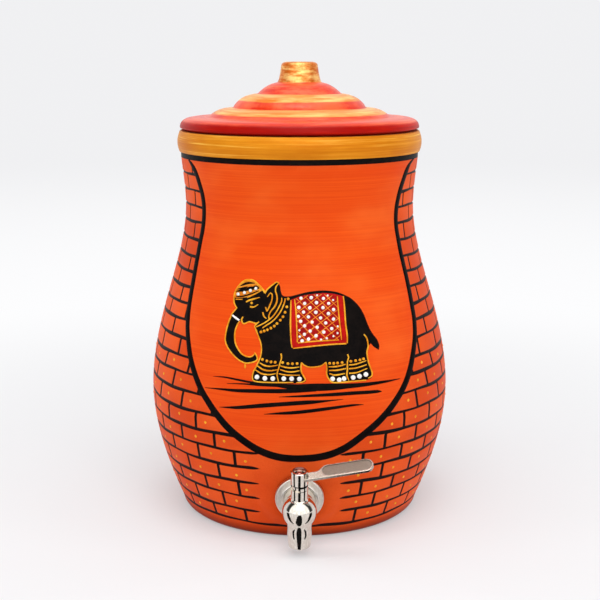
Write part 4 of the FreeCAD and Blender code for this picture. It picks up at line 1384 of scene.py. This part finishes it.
def lever_metal():
    """The lever: a polished raised rim round a brushed satin field."""
    paint = Paint("lever_steel")
    place = paint.place()
    parts = [paint.part(place, axis) for axis in "XYZ"]
    tilt = Matrix.Rotation(tap_tilt, 3, "X")
    turn = tilt @ Matrix.Rotation(-lever_rise, 3, "Y") @ Matrix.Rotation(lever_lean, 3, "X")
    root = Vector((0, -tap_out, tap_height)) + tilt @ Vector((0, -tap_axis_out, lever_root))

    def along(axis):
        """Distance from the lever's root along one of its own axes."""
        way = turn @ axis
        return sum((part * share for part, share in zip(parts, way)), 0.0) - way.dot(root)

    length, across = along(Vector((1, 0, 0))), along(Vector((0, 1, 0)))
    past = ((length - field_middle).maths("ABSOLUTE") - field_half_length).maths("MAXIMUM", 0.0)
    reach = (past * past + across * across).maths("SQRT")
    field = reach.step(field_half_width + field_edge, field_half_width - field_edge)
    brushed = paint.noise(paint.stretched(900.0, 2600.0, 2600.0), detail=2.0)
    steel = paint.mixed(brushed.step(0.4, 0.7), lever_steel, lever_steel_pale)
    satin = paint.mixed(brushed.step(0.3, 0.7), lever_field, lever_field_pale)
    paint.surface(
        Base_Color=paint.mixed(field, steel, satin),
        Metallic=1.0,
        Roughness=0.10 + brushed * 0.06 + field * 0.28,
    )
    paint.relief(brushed, 0.00006)
    return paint


def seal_finish(name, low, high, roughness):
    """Moulded rubber or plastic, with a fine dull grain."""
    return grained(name, low, high, (700.0, 700.0, 700.0), 3.0, (0.35, 0.7), roughness, 0.1, 0.0001)


def dress_solids():
    """Paints for the pieces that are shown as the solids they are."""
    turned = grained(
        "turned_steel", linear(150, 150, 150), linear(188, 188, 186), (1200.0, 1200.0, 200.0),
        2.0, (0.35, 0.7), 0.28, 0.12, 0.0001, Metallic=1.0,
    )
    rubber = seal_finish("black_rubber", linear(18, 18, 18), linear(34, 33, 32), 0.6)
    nylon = seal_finish("white_nylon", linear(222, 220, 210), linear(238, 236, 228), 0.4)
    wearers = {
        polished_metal(): ("tap_body", "handle_cap", "handle_screw"),
        lever_metal(): ("handle_lever",),
        turned: ("flat_washer", "lock_nut", "valve_rotor"),
        rubber: ("outer_seal", "inner_seal", "lower_stem_ring", "upper_stem_ring"),
        nylon: ("inlet_seat", "thrust_washer", "top_washer"),
    }
    for paint, names in wearers.items():
        for name in names:
            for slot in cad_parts[name].material_slots:
                slot.material = paint.material


def place_camera():
    """The camera, where the photo was taken from."""
    data = bpy.data.cameras.new("camera")
    data.sensor_width = sensor_width
    data.lens = picture_focal * sensor_width / picture_width
    data.shift_x = (picture_width / 2 - picture_centre[0]) / picture_width
    camera = bpy.data.objects.new("camera", data)
    camera.location = (0, -camera_back, camera_height)
    camera.rotation_euler = (math.pi / 2 - camera_pitch, 0, 0)
    bpy.context.collection.objects.link(camera)
    bpy.context.scene.camera = camera


def lay_floor():
    """A floor that takes the pot's shadow, and pales to the backdrop away from it."""
    bpy.ops.object.select_all(action="DESELECT")
    bpy.ops.mesh.primitive_plane_add(size=8.0)
    ground = bpy.context.object
    ground.name = "studio_floor"
    paint = Paint("pale_floor")
    seen = paint.node("ShaderNodeLightPath", output="Is Camera Ray")
    for ray in ("Is Glossy Ray", "Is Transmission Ray"):
        seen = seen.maths("MAXIMUM", paint.node("ShaderNodeLightPath", output=ray))
    place = paint.place()
    x, y = paint.part(place, "X"), paint.part(place, "Y")
    distance = (x * x + y * y).maths("SQRT")
    away = (distance.step(0.12, 0.9) * 0.65 + 0.35) * seen
    paint.surface(Base_Color=(0.84, 0.84, 0.85, 1), Roughness=0.7, Specular_IOR_Level=0.1)
    pale = paint.mixed(distance.step(0.5, 3.6), floor_white, backdrop_white)
    glow = paint.node("ShaderNodeEmission", {"Color": pale, "Strength": 1.0})
    shaded = Wire(paint, paint.shader.outputs[0])
    both = paint.node("ShaderNodeMixShader", {0: away, 1: shaded, 2: glow})
    paint.tree.links.new(both.socket, paint.tree.nodes["Material Output"].inputs["Surface"])
    ground.data.materials.append(paint.material)


def lay_cards():
    """The dark strips on the floor, seen only in reflections."""
    black = Paint("card_black")
    black.surface(Base_Color=(0.01, 0.01, 0.01, 1), Roughness=0.9, Specular_IOR_Level=0.0)
    cards = (("front", 1, front_card), ("right", 1, side_card), ("left", -1, side_card))
    for name, side, pairs in cards:
        points = np.array(pairs) * (side, 1)

        def place(column, row):
            spot = points[column, row]
            return np.column_stack([spot, np.full(len(spot), card_level)])

        card = placed_grid(name + "_card", len(pairs) - 1, 1, place)[0]
        card.data.materials.append(black.material)
        for kind in ("camera", "diffuse", "transmission", "shadow"):
            setattr(card, "visible_" + kind, False)


def hang_sky():
    """The world: a backdrop for the camera, a grey fill, and a bright front for what reflects it."""
    sky = Sky("studio")
    bpy.context.scene.world = sky.material
    toward = sky.part(sky.node("ShaderNodeTexCoord", output="Generated"), "Y")
    room = sky.mixed(toward.step(0.0, 0.25), studio_dark, backdrop_white)
    room = sky.mixed(toward.step(-0.28, -0.42), room, studio_bright)
    glossy = sky.node("ShaderNodeLightPath", output="Is Glossy Ray")
    seen = sky.node("ShaderNodeLightPath", output="Is Camera Ray")
    seen = seen.maths("MAXIMUM", sky.node("ShaderNodeLightPath", output="Is Transmission Ray"))
    sky.surface(Color=sky.mixed(seen, sky.mixed(glossy, studio_fill, room), backdrop_white))


def hang_lamps():
    """Soft lamps. The two at the sides don't show in the polish of the tap."""
    for name, place, (width, length), power in lamps:
        light = bpy.data.lights.new(name, "AREA")
        light.shape = "RECTANGLE"
        light.size = width
        light.size_y = length
        light.energy = power
        lamp = bpy.data.objects.new(name, light)
        lamp.location = place
        lamp.visible_glossy = "front" in name or "top" in name
        aim = np.array(lamp_aim) - np.array(place)
        pitch = math.atan2(math.hypot(aim[0], aim[1]), -aim[2])
        lamp.rotation_euler = (pitch, 0, math.atan2(-aim[0], aim[1]))
        bpy.context.collection.objects.link(lamp)


paints = {
    "clay": pot_paint(),
    "ring": grained(
        "black_ring_paint", linear(8, 5, 4), linear(22, 13, 10), (260.0, 260.0, 520.0),
        3.0, (0.4, 0.7), 0.38, 0.15, 0.00015, Specular_IOR_Level=0.05,
    ),
    "collar": gold_paint("gold_collar_paint"),
    "inside": bare_clay("bare_clay_inside"),
    "under": bare_clay("bare_clay_foot"),
    "lid": lid_paint(),
    "lid_below": bare_clay("bare_clay_below_lid"),
    "black": plain_paint("black_brush_paint", linear(6, 4, 4), linear(18, 12, 10), 0.4, 0.04),
    "gold": plain_paint("gold_liner", linear(224, 134, 14), linear(248, 182, 48), 0.34),
    "cap": plain_paint("gold_cap_paint", linear(214, 116, 20), linear(240, 160, 52), 0.38),
    "lattice": plain_paint("orange_liner", linear(240, 122, 24), linear(252, 172, 60), 0.4),
    "red": plain_paint("cloth_red", linear(168, 8, 4), linear(196, 14, 6), 0.42),
    "dark_red": plain_paint("woven_red", linear(146, 5, 5), linear(180, 8, 8), 0.42),
    "white": plain_paint("white_liner", linear(238, 236, 232), linear(252, 251, 248), 0.38),
}
wander = joint_wanders()
make_pot(paints, wander)
draw_arch(paints)
draw_ground(paints)
draw_elephant(paints)
draw_brick_dots(paints, wander)
make_lid(paints)
dress_solids()
place_camera()
lay_floor()
lay_cards()
hang_sky()
hang_lamps()
bpy.context.scene.view_settings.view_transform = "Standard"
